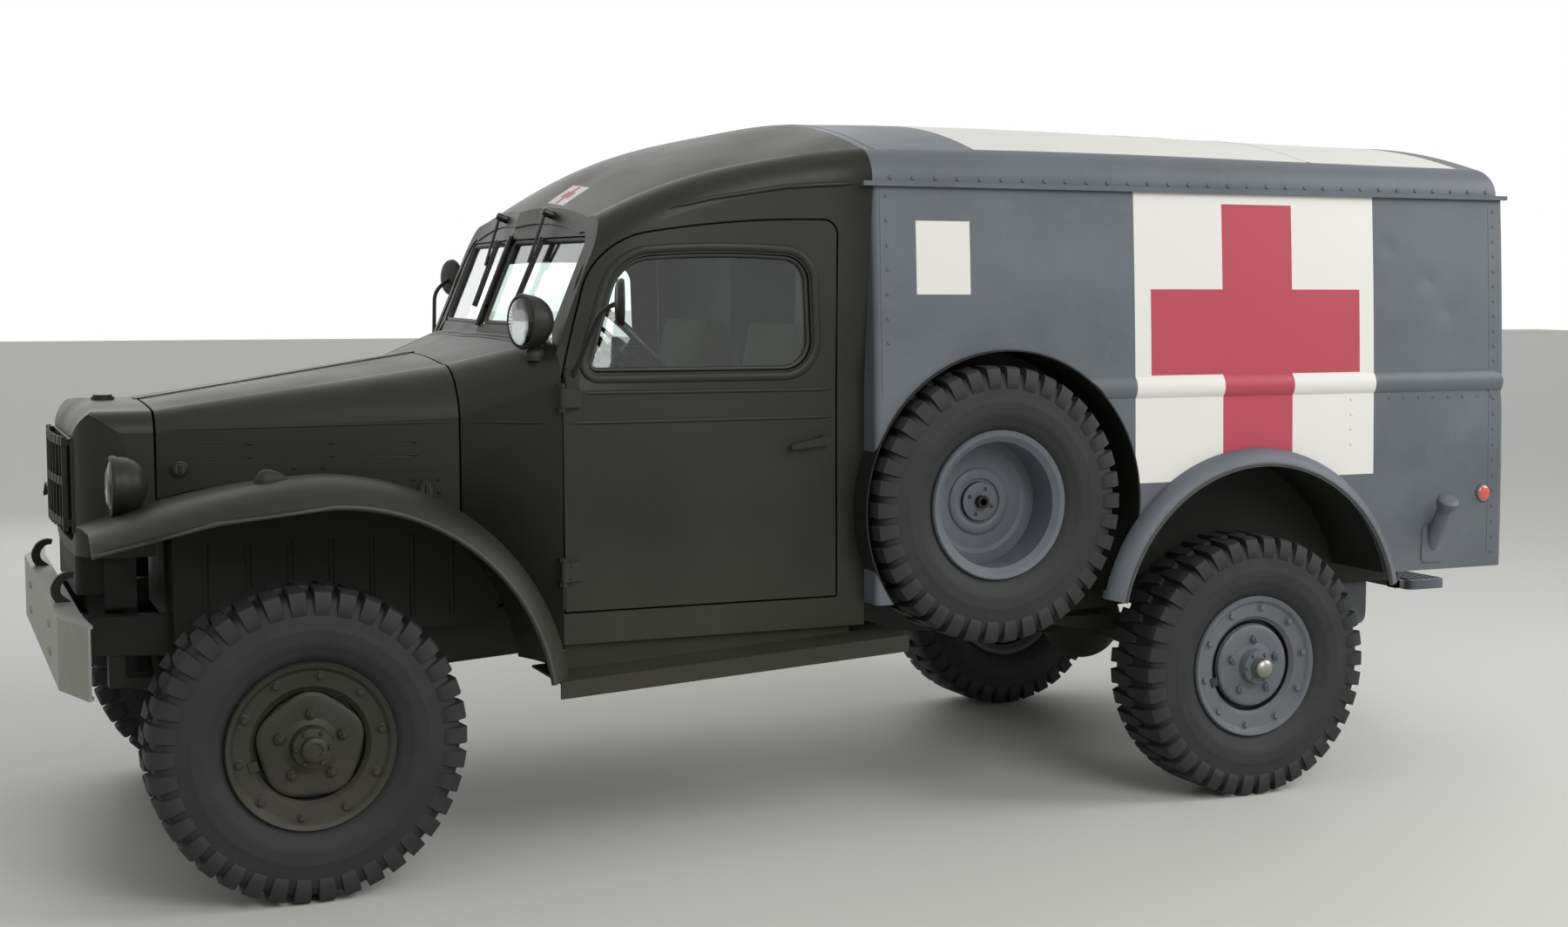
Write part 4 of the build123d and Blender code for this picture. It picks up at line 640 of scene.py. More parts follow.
def ring_tree():
    """Copies of a piece at even turns about the Y axis."""
    tree, given = new_tree("ring_of_pieces", [
        ("Geometry", "NodeSocketGeometry", None), ("Count", "NodeSocketInt", 10),
        ("Start", "NodeSocketFloat", 0.0), ("Finish", "NodeSocketMaterial", None),
    ])
    inputs = {"Count": given["Count"], "Offset": (0, 0, 0)}
    line = add_node(tree, "GeometryNodeMeshLine", inputs, mode="OFFSET")["Mesh"]
    step = add_node(tree, MATH, (tau, given["Count"]), operation="DIVIDE")[0]
    index = add_node(tree, "GeometryNodeInputIndex")[0]
    turn = add_node(tree, MATH, (index, step, given["Start"]), operation="MULTIPLY_ADD")[0]
    rotation = add_node(tree, "ShaderNodeCombineXYZ", {"Y": turn})[0]
    inputs = {"Points": line, "Instance": given["Geometry"], "Rotation": rotation}
    return end_tree(tree, given, add_node(tree, "GeometryNodeInstanceOnPoints", inputs)["Instances"])


def stud_tree():
    """A small head, round or with flats, on each point, facing the way its attribute says."""
    tree, given = new_tree("heads_on_points", [
        ("Geometry", "NodeSocketGeometry", None), ("Sides", "NodeSocketInt", 8),
        ("Foot Radius", "NodeSocketFloat", 0.006), ("Top Radius", "NodeSocketFloat", 0.003),
        ("Height", "NodeSocketFloat", 0.003), ("Finish", "NodeSocketMaterial", None),
    ])
    inputs = {"Vertices": given["Sides"], "Radius Bottom": given["Foot Radius"],
              "Radius Top": given["Top Radius"], "Depth": given["Height"]}
    head = add_node(tree, "GeometryNodeMeshCone", inputs, fill_type="NGON")["Mesh"]
    inputs = {"Name": "facing"}
    facing = add_node(tree, "GeometryNodeInputNamedAttribute", inputs, data_type="FLOAT_VECTOR")["Attribute"]
    turn = add_node(tree, "FunctionNodeAlignRotationToVector", {"Vector": facing}, axis="Z")["Rotation"]
    inputs = {"Points": given["Geometry"], "Instance": head, "Rotation": turn}
    return end_tree(tree, given, add_node(tree, "GeometryNodeInstanceOnPoints", inputs)["Instances"])


def grown(tree, mesh, inputs):
    """Plain mesh that a tree makes from a mesh and its named inputs."""
    source = bpy.data.objects.new(tree.name, mesh)
    bpy.context.scene.collection.objects.link(source)
    modifier = source.modifiers.new(tree.name, "NODES")
    modifier.node_group = tree
    for item in tree.interface.items_tree:
        if item.name in inputs and item.in_out == "INPUT":
            modifier[item.identifier] = inputs[item.name]
    graph = bpy.context.evaluated_depsgraph_get()
    result = bpy.data.meshes.new_from_object(source.evaluated_get(graph))
    source.modifiers.remove(modifier)
    bpy.data.objects.remove(source)
    return result


def heads(name, places, sides, size, finish, body):
    """Rivets, screws or bolt heads at pairs of point and outward direction.

    Size is the radius of the foot, the radius of the top and the height, in millimetres.
    """
    mesh = bpy.data.meshes.new(name)
    mesh.from_pydata([point for point, _ in places], [], [])
    attribute = mesh.attributes.new("facing", "FLOAT_VECTOR", "POINT")
    attribute.data.foreach_set("vector", [part for _, out in places for part in out])
    foot, top, height = (value / 1000 for value in size)
    inputs = {"Sides": sides, "Foot Radius": foot, "Top Radius": top, "Height": height,
              "Finish": finishes[finish]}
    return hand_on(grown(stud_tree(), mesh, inputs), name, finish, body, 30)


def moved_copy(mesh, offset, mirror_y=False):
    """Copy of a mesh moved by offset, and mirrored in Y first if asked."""
    copy = mesh.copy()
    matrix = Matrix.Translation(offset)
    if mirror_y:
        matrix = matrix @ Matrix.Diagonal((1, -1, 1, 1))
    copy.transform(matrix)
    if mirror_y:
        copy.flip_normals()
    return copy


def joined(meshes, name):
    """One mesh from several."""
    work = bmesh.new()
    for mesh in meshes:
        work.from_mesh(mesh)
    result = bpy.data.meshes.new(name)
    work.to_mesh(result)
    work.free()
    return result


# Tyres: outline from bead to crown as radius and offset from the middle plane, in millimetres
TYRE_OUTLINE = [
    (206, 84), (232, 88), (243, 99), (258, 108), (272, 112), (276, 115), (292, 117), (310, 118), (318, 119),
    (322, 119), (326, 118), (345, 117.5), (362, 116), (378, 113), (396, 107), (407, 98), (412, 70), (414, 30),
]
# One lug from past the middle to the side wall: offset and radius of its foot, of its top, and half its width
LUG_ROWS = [
    ((-14, 411), (-12, 428), 12), ((16, 412), (16, 429.5), 16), ((60, 411), (60, 429.4), 19),
    ((92, 406), (95, 428.8), 21.5), ((103, 398), (111, 422), 22.5), ((110, 386), (118, 405), 22),
    ((112, 370), (118.9, 382), 20.5), ((113, 356), (118.4, 362), 18.5),
]
# How much wider a lug is at its foot, on each side
LUG_FLARE = 2.5


class TyreSettings(bpy.types.PropertyGroup):
    """Sizes of the tyres"""

    lugs: bpy.props.IntProperty(name="Lugs", description="Tread blocks on each shoulder", default=38, min=8)


class AMBULANCE_OT_tyres(bpy.types.Operator):
    """Cross country tyres with blocks over both shoulders, in place of the plain ones"""

    bl_idname = "ambulance.tyres"
    bl_label = "Tyres"

    def execute(self, context):
        lugs = context.scene.ambulance_tyres.lugs
        loop = TYRE_OUTLINE + [(radius, -offset) for radius, offset in TYRE_OUTLINE[::-1]]
        parts = [Shape().turn(loop, stand(Vector(), (0, 1, 0)), steps=96, loop=True).plain_mesh("carcass")]
        rows = []
        for foot, top, half in LUG_ROWS:
            wide = half + LUG_FLARE
            corners = ((foot, -wide), (top, -half), (top, half), (foot, wide))
            rows.append([Vector((across, offset, radius)) / 1000 for (offset, radius), across in corners])
        lug = Shape().rings(rows).plain_mesh("lug")
        tree = ring_tree()
        # The second shoulder's lugs stand half a pitch on
        for mirror, start in ((False, 0.0), (True, pi / lugs)):
            inputs = {"Count": lugs, "Start": start, "Finish": finishes["tyre"]}
            parts.append(grown(tree, moved_copy(lug, Vector(), mirror), inputs))
        tyre = joined(parts, "tyre")
        places = [(name, hubs[name], f"wheel_{name}") for name in hub_names]
        for name, centre, body in places + [("spare", spare_centre, truck)]:
            piece = hand_on(moved_copy(tyre, centre), f"treaded_tyre_{name}", "tyre", body, 42)
            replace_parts(piece, f"tyre_{name}")
        return {"FINISHED"}


# Wheels: fastenings as name, count, radius from the hub, turn in degrees, foot, head and the head's sides.
# Profiles are pairs of radius and height from the wheel's middle plane
WHEEL_RINGS = (
    ("rim_bolts", 10, 195, 8, [(15, 86), (15, 91), (14, 91.5)], [(11, 91), (11, 98), (9, 100)], 6),
    ("wheel_nuts", 5, 90, 0, [(19, 82), (19, 87), (17, 89)], [(15, 88), (15, 99), (12, 102)], 6),
    ("wheel_studs", 5, 90, 0, [(7, 100), (7, 106), (6, 107.5)], [(4, 107), (4, 107.6), (3, 108)], 12),
    ("hub_bolts", 6, 46, 30, [(8, 118), (8, 120), (7.5, 120.5)], [(6.5, 120), (6.5, 126), (5, 127)], 6),
)
# Shadow in the groove between disc and rim
DARK_GAP = [
    (122, 80.4), (137.6, 70.6), (140.4, 50.6), (149.6, 50.6), (151.6, 74.0), (150.8, 74.6), (148.8, 51.6),
    (141.2, 51.6), (138.3, 71.4), (122.6, 81.2),
]
# Raised disc: radius of its edge, and its steps as share of that radius and height
DISC_RADII = {"front": 142, "rear": 134}
DISC_STEPS = ((1, 72), (1, 80), (0.975, 83.5), (0.93, 85.5), (0.8, 86.5), (0.42, 87))
HUB_CAPS = {
    "front": [(33, 139), (33, 144), (27, 148.5), (20, 149), (19, 146), (8, 146.5), (1, 147)],
    "rear": [(33, 139), (33, 150), (28, 157), (18, 161.5), (8, 163.5), (1, 164)],
}
# Painted shadow of the valve's notch in the rim's inner edge, as a dark plate, and its turn round the hub in
# degrees
VALVE_NOTCH_SHADOW = [(148, -13), (172, -15), (172, 15), (148, 13)]
NOTCH_TURNS = {LEFT: 196, RIGHT: -16}
# Clamp of the spare wheel, 40 mm inside its tyre's middle plane: profiles, steps and which are loops
CLAMP_PARTS = (
    ([(60, -30), (60, -27), (52, -25), (30, -24.5)], 40, False),
    ([(104, -43), (104, -35), (98, -31), (80, -30), (72, -34), (72, -43)], 48, True),
    ([(19, -25), (19, -20), (17, -19)], 20, False),
    ([(15, -20), (15, -6), (12, -3)], 6, False),
)
# Holes in the clamp, painted as dark discs of shade: count, radius of their ring, turn in radians and the
# discs' profile
HOLE_COUNT, HOLE_RING, HOLE_TURN = 4, 42, 0.4
HOLE_SHADOW_PROFILE = [(7, -25.5), (7, -24), (6, -23.8)]


class WheelSettings(bpy.types.PropertyGroup):
    """Sizes of the wheels' discs"""

    lobes: bpy.props.IntProperty(
        name="Lobes", description="Lobes of the front wheels' discs", default=5, min=3)
    lobe_depth: bpy.props.FloatProperty(
        name="Lobe Depth", description="Half the depth between the lobes, in millimetres", default=6.0, min=0)


class AMBULANCE_OT_wheel_fittings(bpy.types.Operator):
    """Discs, nuts, rim bolts, hub bolts and hub caps of the road wheels, and the spare wheel's clamp"""

    bl_idname = "ambulance.wheel_fittings"
    bl_label = "Wheel Fittings"

    def execute(self, context):
        settings = context.scene.ambulance_wheels
        tree = ring_tree()
        for name in hub_names:
            axle, word = name.split("_")
            side, body, centre = SIDES[word], f"wheel_{name}", hubs[name]
            # Front wheels have lobed discs and the cab's paint, rear ones a bright cap
            depth, paint, metal = 0, "box", "steel"
            if axle == "front":
                depth, paint, metal = settings.lobe_depth, "cab", "cab"
            outward = stand(centre, (0, side, 0))
            # Painted shadow: a dark ring in the groove between disc and rim
            Shape().turn(DARK_GAP, outward, 72, loop=True).finish(f"wheel_gap_shadow_{name}", "seal", body)
            rows = []
            for share, height in DISC_STEPS:
                row = []
                for i in range(100):
                    turn = tau * i / 100
                    radius = DISC_RADII[axle] + depth * sin(settings.lobes * (turn - pi / 2) + pi / 2)
                    reach = radius * share
                    row.append(outward @ (Vector((reach * cos(turn), reach * sin(turn), height)) / 1000))
                rows.append(row)
            Shape().rings(rows).finish(f"wheel_disc_{name}", paint, body)
            for label, count, radius, start, foot, head, sides in WHEEL_RINGS:
                place = stand(Vector((0, 0, radius / 1000)), (0, side, 0))
                mesh = Shape().turn(foot, place, 14).turn(head, place, sides).plain_mesh(label)
                inputs = {"Count": count, "Start": radians(start), "Finish": finishes[paint]}
                ring = moved_copy(grown(tree, mesh, inputs), centre)
                hand_on(ring, f"{label}_{name}", paint, body, 30)
            Shape().turn(HUB_CAPS[axle], outward, 32).finish(f"hub_cap_{name}", metal, body)
            # Painted shade of the valve's notch, as a dark plate
            around = outward @ Matrix.Rotation(radians(NOTCH_TURNS[side]), 4, "Z")
            Shape().slab(VALVE_NOTCH_SHADOW, around, 78, 91.2).finish(f"valve_notch_shadow_{name}", "seal", body)
        clamp = Shape()
        for profile, steps, loop in CLAMP_PARTS:
            clamp.turn(profile, stand(spare_centre, (0, LEFT, 0)), steps, loop)
        clamp.finish("spare_clamp", "box", truck)
        # Painted shade in the clamp's holes, as dark discs
        place = stand(Vector((0, 0, HOLE_RING / 1000)), (0, LEFT, 0))
        shadow_disc = Shape().turn(HOLE_SHADOW_PROFILE, place, 16).plain_mesh("clamp_shadow_disc")
        shadow_discs = grown(tree, shadow_disc, {"Count": HOLE_COUNT, "Start": HOLE_TURN, "Finish": finishes["seal"]})
        hand_on(moved_copy(shadow_discs, spare_centre), "spare_clamp_shadow_discs", "seal", truck)
        return {"FINISHED"}


# Hood side: louvres as first and last x, the rows' heights, and the steps along one louvre
LOUVRE_COLUMNS = ((-212, -66), (4, 156), (226, 386))
LOUVRE_LEVELS = (1221, 1183)
LOUVRE_STEPS = 14
# Latches as x and z: a round plate with a key slot in front, an oval one with a turning handle behind
FRONT_LATCH, REAR_LATCH = (-270, 1153), (402, 1077)
HOOD_RIVETS = ((368, 1111), (436, 1111), (365, 1066), (439, 1072), (38, 1150), (119, 1150))
# Grille's mouth as y and z of its corners, open at its foot
GRILLE_MOUTH = ((-314, 968), (-314, 1228), (314, 1228), (314, 968))


def side_bead(name, skin, points, side, width, height, finish, body):
    """Raised strip that follows a side skin through x and z pairs, tapered at both ends."""
    places = all_on_side(skin, along_line(points, 25), side)
    last = len(places) - 1
    ends = [min(1, i / 2 + 0.15, (last - i) / 2 + 0.15) for i in range(last + 1)]
    widths, heights = [max(0.6, width * end) for end in ends], [max(0.2, height * end) for end in ends]
    return Shape().bead(places, widths, heights).finish(name, finish, body)


def add_louvre(louvres, shadows, skin, side, first, last, z):
    """Louvre between two x, low at its front and swollen at its rear, with a painted shadow line under it."""
    places, widths, heights = [], [], []
    for i in range(LOUVRE_STEPS + 1):
        t = i / LOUVRE_STEPS
        swell = max(0.0, (t - 0.84) / 0.16)
        drop = 1 if t < 0.97 else 0.6
        places.append(on_side(skin, first + (last - first) * t, z, side))
        widths.append((5 + 7 * swell) * drop if 0 < t < 1 else 2)
        heights.append((2.2 + 6.5 * swell) * drop if 0 < t < 1 else 0.5)
    louvres.bead(places, widths, heights)
    line = along_line([(first + 4, z - 4.5), (last - 6, z - 4.5)], 20)
    shadows.bead(all_on_side(skin, line, side), 4.5, 0.5, steps=4)


def handle_outline(half, reach):
    """Outline of a small turning handle that is widest at its pivot."""
    return [(-half, -reach), (half, -reach), (half + 1, 0), (half, reach), (-half, reach), (-half - 1, 0)]


class AMBULANCE_OT_hood_details(bpy.types.Operator):
    """Louvres, latches and side creases of the hood, and the bead round the grille's mouth"""

    bl_idname = "ambulance.hood_details"
    bl_label = "Hood Details"

    def execute(self, context):
        for word, side in SIDES.items():
            body = f"hood_{word}"
            skin = skin_of(body)
            louvres, shadows = Shape(), Shape()
            for first, last in LOUVRE_COLUMNS:
                for z in LOUVRE_LEVELS:
                    add_louvre(louvres, shadows, skin, side, first, last, z)
            louvres.finish(f"louvres_{word}", "cab", body)
            shadows.finish(f"louvre_shadows_{word}", "seal", body)
            seat, oval = (stand(*on_side(skin, x, z, side)) for x, z in (FRONT_LATCH, REAR_LATCH))
            ring = [(24 * x, 34 * y) for x, y in circle(1, 36)]
            plates = Shape().turn([(23, -1), (23, 1.5), (20, 3.5), (18, 3.5), (16, 1)], seat, 28)
            plates.slab(ring, oval, -1, 4, 3).finish(f"latch_plates_{word}", "cab", body)
            # Dark discs and ovals painted as the shade in the latches' wells
            well_shadows = Shape().turn([(16.5, 0), (16.5, 4.2), (14, 4.4)], seat, 24)
            well = [(0.66 * x, 0.72 * y) for x, y in ring]
            well_shadows.slab(well, oval, 0, 4.6, 0.5).finish(f"latch_well_shadows_{word}", "seal", body)
            handles = Shape().slab(handle_outline(4, 13), seat, 3, 9, 1.5)
            handles.slab(handle_outline(5, 22), oval, 3, 10, 2).finish(f"latch_handles_{word}", "cab", body)
            places = all_on_side(skin, HOOD_RIVETS, side)
            heads(f"hood_rivets_{word}", places, 10, (6, 3.5, 3), "cab", body)
            side_bead(f"hood_crease_{word}", skin, [(-320, 1262), (488, 1276)], side, 6, 1.6, "cab", body)
        nose = skin_of("nose_shell")
        path = curve_points([Vector((y, z, 0)) for y, z in GRILLE_MOUTH], 34, 6)
        rim = [on_skin(nose, spot(-900, point.x, point.y), (1, 0, 0)) for point in path]
        Shape().bead(rim, 16, 6).finish("nose_rim", "cab", truck)
        return {"FINISHED"}


# Outline of the door's window as x and z, from its low front corner rearwards: lines and arcs
WINDOW_PARTS = (
    ((860, 1420), (1440, 1420)), ((1440, 1420), (1502, 1448), (1526, 1510)), ((1526, 1510), (1518, 1690)),
    ((1518, 1690), (1492, 1740), (1430, 1762)), ((1430, 1762), (1240, 1768), (1040, 1760)),
    ((1040, 1760), (958, 1735), (905, 1665)), ((905, 1665), (836, 1455)),
    ((836, 1455), (838, 1430), (860, 1420)),
)
# Creases pressed in the cab's side: name, node, ends as x and z, width and height
BELTS = (
    ("belt_high", "door", [(800, 1363), (1600, 1361)], 11, 3.5),
    ("belt_low", "door", [(756, 1278), (1600, 1278)], 11, 3.5),
    ("cowl_belt", "cowl", [(510, 1277), (725, 1278)], 8, 2.2),
)
# Rod of the door's check, on the hinge's axis: x, y and its two heights
HINGE_ROD = (739, 828, 822, 745)


def window_outline():
    """Evenly stepped outline of the door's window."""
    points = []
    for part in WINDOW_PARTS:
        if len(part) == 2:
            points += [Vector(part[0]).lerp(Vector(part[1]), i / 10) for i in range(1, 11)]
        else:
            points += arc(*part)
    return points


def header_seal(skin, side):
    """Rubber strip inside the door's shut line, from the pillar along the header."""
    shut_line = [Vector((832, 1650))] + arc((832, 1650), (895, 1762), (1010, 1822))
    shut_line += arc((1010, 1822), (1250, 1853), (1560, 1866), 12)
    strip = []
    for x, z in shut_line:
        # The ray meets the door's inside a little below and behind its edge
        hit = skin.ray_cast(spot(x + 14, side * 300, z - 22), Vector((0, side, 0)), 0.6)[0]
        strip.append(Vector((spot(x, 0, 0).x, hit.y, (z + 3) / 1000)))
    return Shape().sweep([(-19, -20), (19, -20), (19, -7), (-19, -7)], strip, (0, side, 0))


class AMBULANCE_OT_door_details(bpy.types.Operator):
    """Window beads and seals, header seals, belt creases, hinge screws and hinge rods of the cab doors"""

    bl_idname = "ambulance.door_details"
    bl_label = "Door Details"

    def execute(self, context):
        outline = window_outline()
        for word, side in SIDES.items():
            body = f"door_{word}"
            skins = {"door": skin_of(body), "cowl": skin_of("cowl")}
            skin, pane = skins["door"], skin_of(f"door_glass_{word}")
            edge = all_on_side(skin, grown_outline(outline, 17), side)
            Shape().bead(edge, 26, 6, closed=True).finish(f"window_bead_{word}", "cab", body)
            seal = all_on_side(pane, grown_outline(outline, -7), side)
            Shape().bead(seal, 16, 9, closed=True).finish(f"window_seal_{word}", "seal", body)
            header_seal(skin, side).finish(f"door_header_seal_{word}", "seal", truck)
            for name, node, ends, width, height in BELTS:
                owner = body if node == "door" else truck
                side_bead(f"{name}_{word}", skins[node], ends, side, width, height, "cab", owner)
            screws = all_on_side(skin, ((762, 870), (762, 834)), side)
            heads(f"hinge_screws_{word}", screws, 12, (6, 4, 2.5), "cab", body)
            x, y, high, low = HINGE_ROD
            rod = Shape().sweep(circle(4, 8), [spot(x, side * y, z) for z in (high, low)], (1, 0, 0))
            rod.finish(f"hinge_rod_{word}", "cab", body)
        return {"FINISHED"}


# Windscreen plane: x at the foot of the middle, its height, lean and sweep
SCREEN_X, SCREEN_Z, SCREEN_LEAN, SCREEN_SWEEP = 708, 1532, 122 / 297, 50 / 640
# Corners of one pane's seal and of its frame's sheet, as y and z
PANE_CORNERS = ((26, 1558), (630, 1558), (630, 1812), (26, 1812))
SHEET_CORNERS = ((3, 1551), (636, 1551), (636, 1819), (3, 1819))
# Between these y and z the sheet's arms stand square to the frame's edge. Past them they fan out
FAN_Y, FAN_Z = (63, 590), (1606, 1764)
SHEET_THICKNESS = 8
# Heights of the points of the strip between both panes
STRIP_LEVELS = (1545, 1600, 1700, 1800, 1828)
# Mouldings on the cowl: how far behind the windscreen's foot, and height
COWL_MOULDINGS = ((-30, 5), (-48, 4))
# Wipers hang from the roof's brow: the pivot's and the blade foot's y and z
WIPERS = (("left", (-299, 1886), (-276, 1613)), ("right", (183, 1886), (153, 1603)))
BLADE_SECTION = [(-3, -8), (3, -8), (4, 6), (2, 10), (-2, 10), (-4, 6)]
# Dashboard as y and z, x of its front and of its dials, and the dials' y, z and radius
DASHBOARD = [
    (-560, 1300), (560, 1300), (575, 1390), (500, 1440), (380, 1470), (0, 1490), (-380, 1470), (-500, 1440),
    (-575, 1390),
]
DASHBOARD_X, DIALS_X = 742, 756
DIALS = ((-300, 1405, 46), (-200, 1400, 34), (-420, 1400, 34), (-110, 1400, 28))


def on_screen(y, z, lift):
    """Place on the windscreen's outer plane, lifted forwards in millimetres."""
    x = SCREEN_X + (z - SCREEN_Z) * SCREEN_LEAN + abs(y) * SCREEN_SWEEP
    out = Vector((-1, (SCREEN_SWEEP if y > 0 else -SCREEN_SWEEP), SCREEN_LEAN)).normalized()
    return spot(x, y, z) + out * (lift / 1000), out


def surround_sheet(side, surround):
    """Sheet from the windscreen's frame out to where rays meet the cab's pillar, brow and cowl."""
    corners = [Vector((side * y, z, 0)) for y, z in SHEET_CORNERS]
    outline = curve_points(corners, 30, closed=True)
    rows = []
    for point in along_line([(p.x, p.y) for p in outline + outline[:1]], 20)[:-1]:
        start, out = on_screen(point.x, point.y, -4)
        core_y, core_z = min(max(abs(point.x), FAN_Y[0]), FAN_Y[1]), min(max(point.y, FAN_Z[0]), FAN_Z[1])
        arm = (Vector((0, point.x, point.y)) - Vector((0, side * core_y, core_z))).normalized()
        across = on_screen(point.x + side * 10, point.y, -4)[0] - start
        up = on_screen(point.x, point.y + 10, -4)[0] - start
        run = (across.normalized() * arm.y * side + up.normalized() * arm.z).normalized()
        hit = surround.ray_cast(start, run, 0.2)[0]
        reach = (hit - start).length + 0.003 if hit is not None else 0.0
        # No arm goes past the middle of the cab
        middle = side * start.y / abs(run.y) if run.y * side < 0 else 1.0
        far = start + run * min(reach, middle)
        back = out * (SHEET_THICKNESS / 1000)
        rows.append([start, far, far - back, start - back])
    return Shape().rings(rows, closed_rows=True)


class AMBULANCE_OT_windscreen_details(bpy.types.Operator):
    """Seals, sheet, middle strip, wipers and base mouldings of the windscreen, and the dashboard"""

    bl_idname = "ambulance.windscreen_details"
    bl_label = "Windscreen Details"

    def execute(self, context):
        surround, cowl = skin_of("cab_shell", "cowl"), skin_of("cowl")
        for word, side in SIDES.items():
            path = curve_points([Vector((side * y, z, 0)) for y, z in PANE_CORNERS], 28, closed=True)
            places = [on_screen(point.x, point.y, -18) for point in path]
            Shape().bead(places, 20, 11, closed=True).finish(f"windscreen_seal_{word}", "seal", truck)
            surround_sheet(side, surround).finish(f"windscreen_surround_{word}", "cab", truck)
        strip = [on_screen(0.001, z, 0) for z in STRIP_LEVELS]
        Shape().bead(strip, 30, 7).finish("windscreen_strip", "cab", truck)
        for word, pivot, tip in WIPERS:
            (low_y, low_z), (top_y, top_z) = (
                [near * (1 - share) + far * share for near, far in zip(pivot, tip)] for share in (0.55, 0.25))
            hub, out = on_screen(*pivot, 26)
            arm = Shape().turn([(13, -34), (13, 4), (10, 9), (4, 11)], stand(hub, out), 20)
            arm.sweep(circle(5, 8), [hub, on_screen(low_y, low_z, 14)[0]], out)
            arm.finish(f"wiper_arm_{word}", "bakelite", truck)
            blade = Shape().sweep(BLADE_SECTION, [on_screen(*tip, 1)[0], on_screen(top_y, top_z, 1)[0]], out)
            blade.finish(f"wiper_blade_{word}", "seal", truck)
        for number, (offset, height) in enumerate(COWL_MOULDINGS, 1):
            line = range(-560, 561, 20)
            places = [on_top(cowl, SCREEN_X + offset + abs(y) * SCREEN_SWEEP, y) for y in line]
            Shape().bead(places, 13, height).finish(f"cowl_moulding_{number}", "cab", truck)
        board = Shape().slab(DASHBOARD, stand(spot(DASHBOARD_X, 0, 0), (1, 0, 0)), 0, 14, 3)
        board.finish("dashboard", "cab", truck)
        dials, faces = Shape(), Shape()
        for y, z, radius in DIALS:
            seat = stand(spot(DIALS_X, y, z), (1, 0, 0))
            dials.turn([(radius, 0), (radius, 5), (radius - 4, 8), (radius - 7, 4)], seat, 28)
            faces.turn([(radius - 7, 3), (radius - 7, 4.6), (radius - 8, 4.8)], seat, 24)
        dials.finish("dial_bezels", "pale", truck)
        faces.finish("dial_faces", "bakelite", truck)
        return {"FINISHED"}


# Lamps: centre of the glass side for the right hand lamp, and radius of the bowl, in millimetres
HEAD_LAMP, HEAD_RADIUS = (-468, 620, 1126), 79
SPOTLIGHT, SPOT_RADIUS, SPOT_YAW = (662, -700, 1567), 76, radians(15)
# Feet under head lamps and spotlight as x and y, and their profiles with heights above the floor
HEAD_FOOT, HEAD_FOOT_PROFILE = (-418, 620), [(20, 1030), (20, 1075), (12, 1085)]
SPOT_FOOT, SPOT_FOOT_PROFILE = (722, -680), [(24, 1448), (24, 1458), (14, 1464), (14, 1512)]
# Tail lamp: front of its case and the case's depth. Red reflector on the box's side as x and z
TAIL_LAMP, TAIL_DEPTH = (4110, 760, 1010), 53
RED_REFLECTOR = (4028, 965)
# Rim round a lamp's glass: how much wider than the bowl, and height in front of it
RIM_LOOP = ((-8, -4), (3, -10), (5, 0), (2, 7), (-5, 9), (-8, 5))
# Marker lamp on the fender and oval lamp on the cowl, from front to rear: way along and share of the width
MARKER_STEPS = (
    (0, 0.05), (0.06, 0.55), (0.16, 0.85), (0.3, 1), (0.5, 0.92), (0.7, 0.7), (0.88, 0.4), (1, 0.05),
)
COWL_LAMP_STEPS = ((0, 0.05), (0.08, 0.6), (0.25, 0.95), (0.5, 1), (0.75, 0.9), (0.93, 0.5), (1, 0.05))


def lamp_bowl(shape, centre, direction, radius):
    """Deep bowl of a lamp: its glass side is at the centre, its back lies along the direction."""
    profile = [(radius - 8, 0), (radius, 0), (radius, radius * 0.2)]
    profile += [tuple(p * radius) for p in arc((1, 0.2), (0.78, 0.84), (0.2, 1.15), 10)]
    shape.turn(profile + [(1, radius * 1.15)], stand(centre, direction), 48)


def lamp_front(name, centre, facing, radius):
    """Rim, fluted reflector and domed glass of a lamp."""
    seat = stand(centre, facing)
    loop = [(radius + wider, height) for wider, height in RIM_LOOP]
    Shape().turn(loop, seat, 48, loop=True).finish(f"{name}_rim", "cab", truck)
    # Rings of the reflector: radius, and the heights of its valleys and ridges
    rings = (
        (radius - 5, -0.5, -0.5), (radius - 6, 0.8, 3.2), (radius * 0.5, 0.6, 1.8), (radius * 0.2, 0.5, 0.8),
    )
    rows = []
    for reach, low, high in rings:
        flat = enumerate(circle(reach, 72))
        rows.append([seat @ (Vector((x, y, high if i % 2 else low)) / 1000) for i, (x, y) in flat])
    Shape().rings(rows).finish(f"{name}_reflector", "mirror", truck)
    dome = [((radius - 6) * cos(t), 4 + 15 * sin(t)) for t in (radians(a) for a in (8, 25, 42, 60, 78))]
    glass = Shape().turn([(radius - 6, 3.0)] + dome + [(1, 19.2)], seat, 48)
    glass.finish(f"{name}_glass", "lens", truck)


def half_dome(bases, shares, half_width, height, foot, steps):
    """Low dome over points along X: half ellipses shrunk by shares, their feet sunk, in millimetres."""
    rows = []
    for base, share in zip(bases, shares):
        turns = [pi * i / steps for i in range(steps + 1)]
        row = [base + Vector((0, half_width * share * cos(t), height * share * sin(t))) / 1000 for t in turns]
        sunk = Vector((0, 0, foot / 1000))
        rows.append(row + [row[-1] - sunk, row[0] - sunk])
    return Shape().rings(rows)


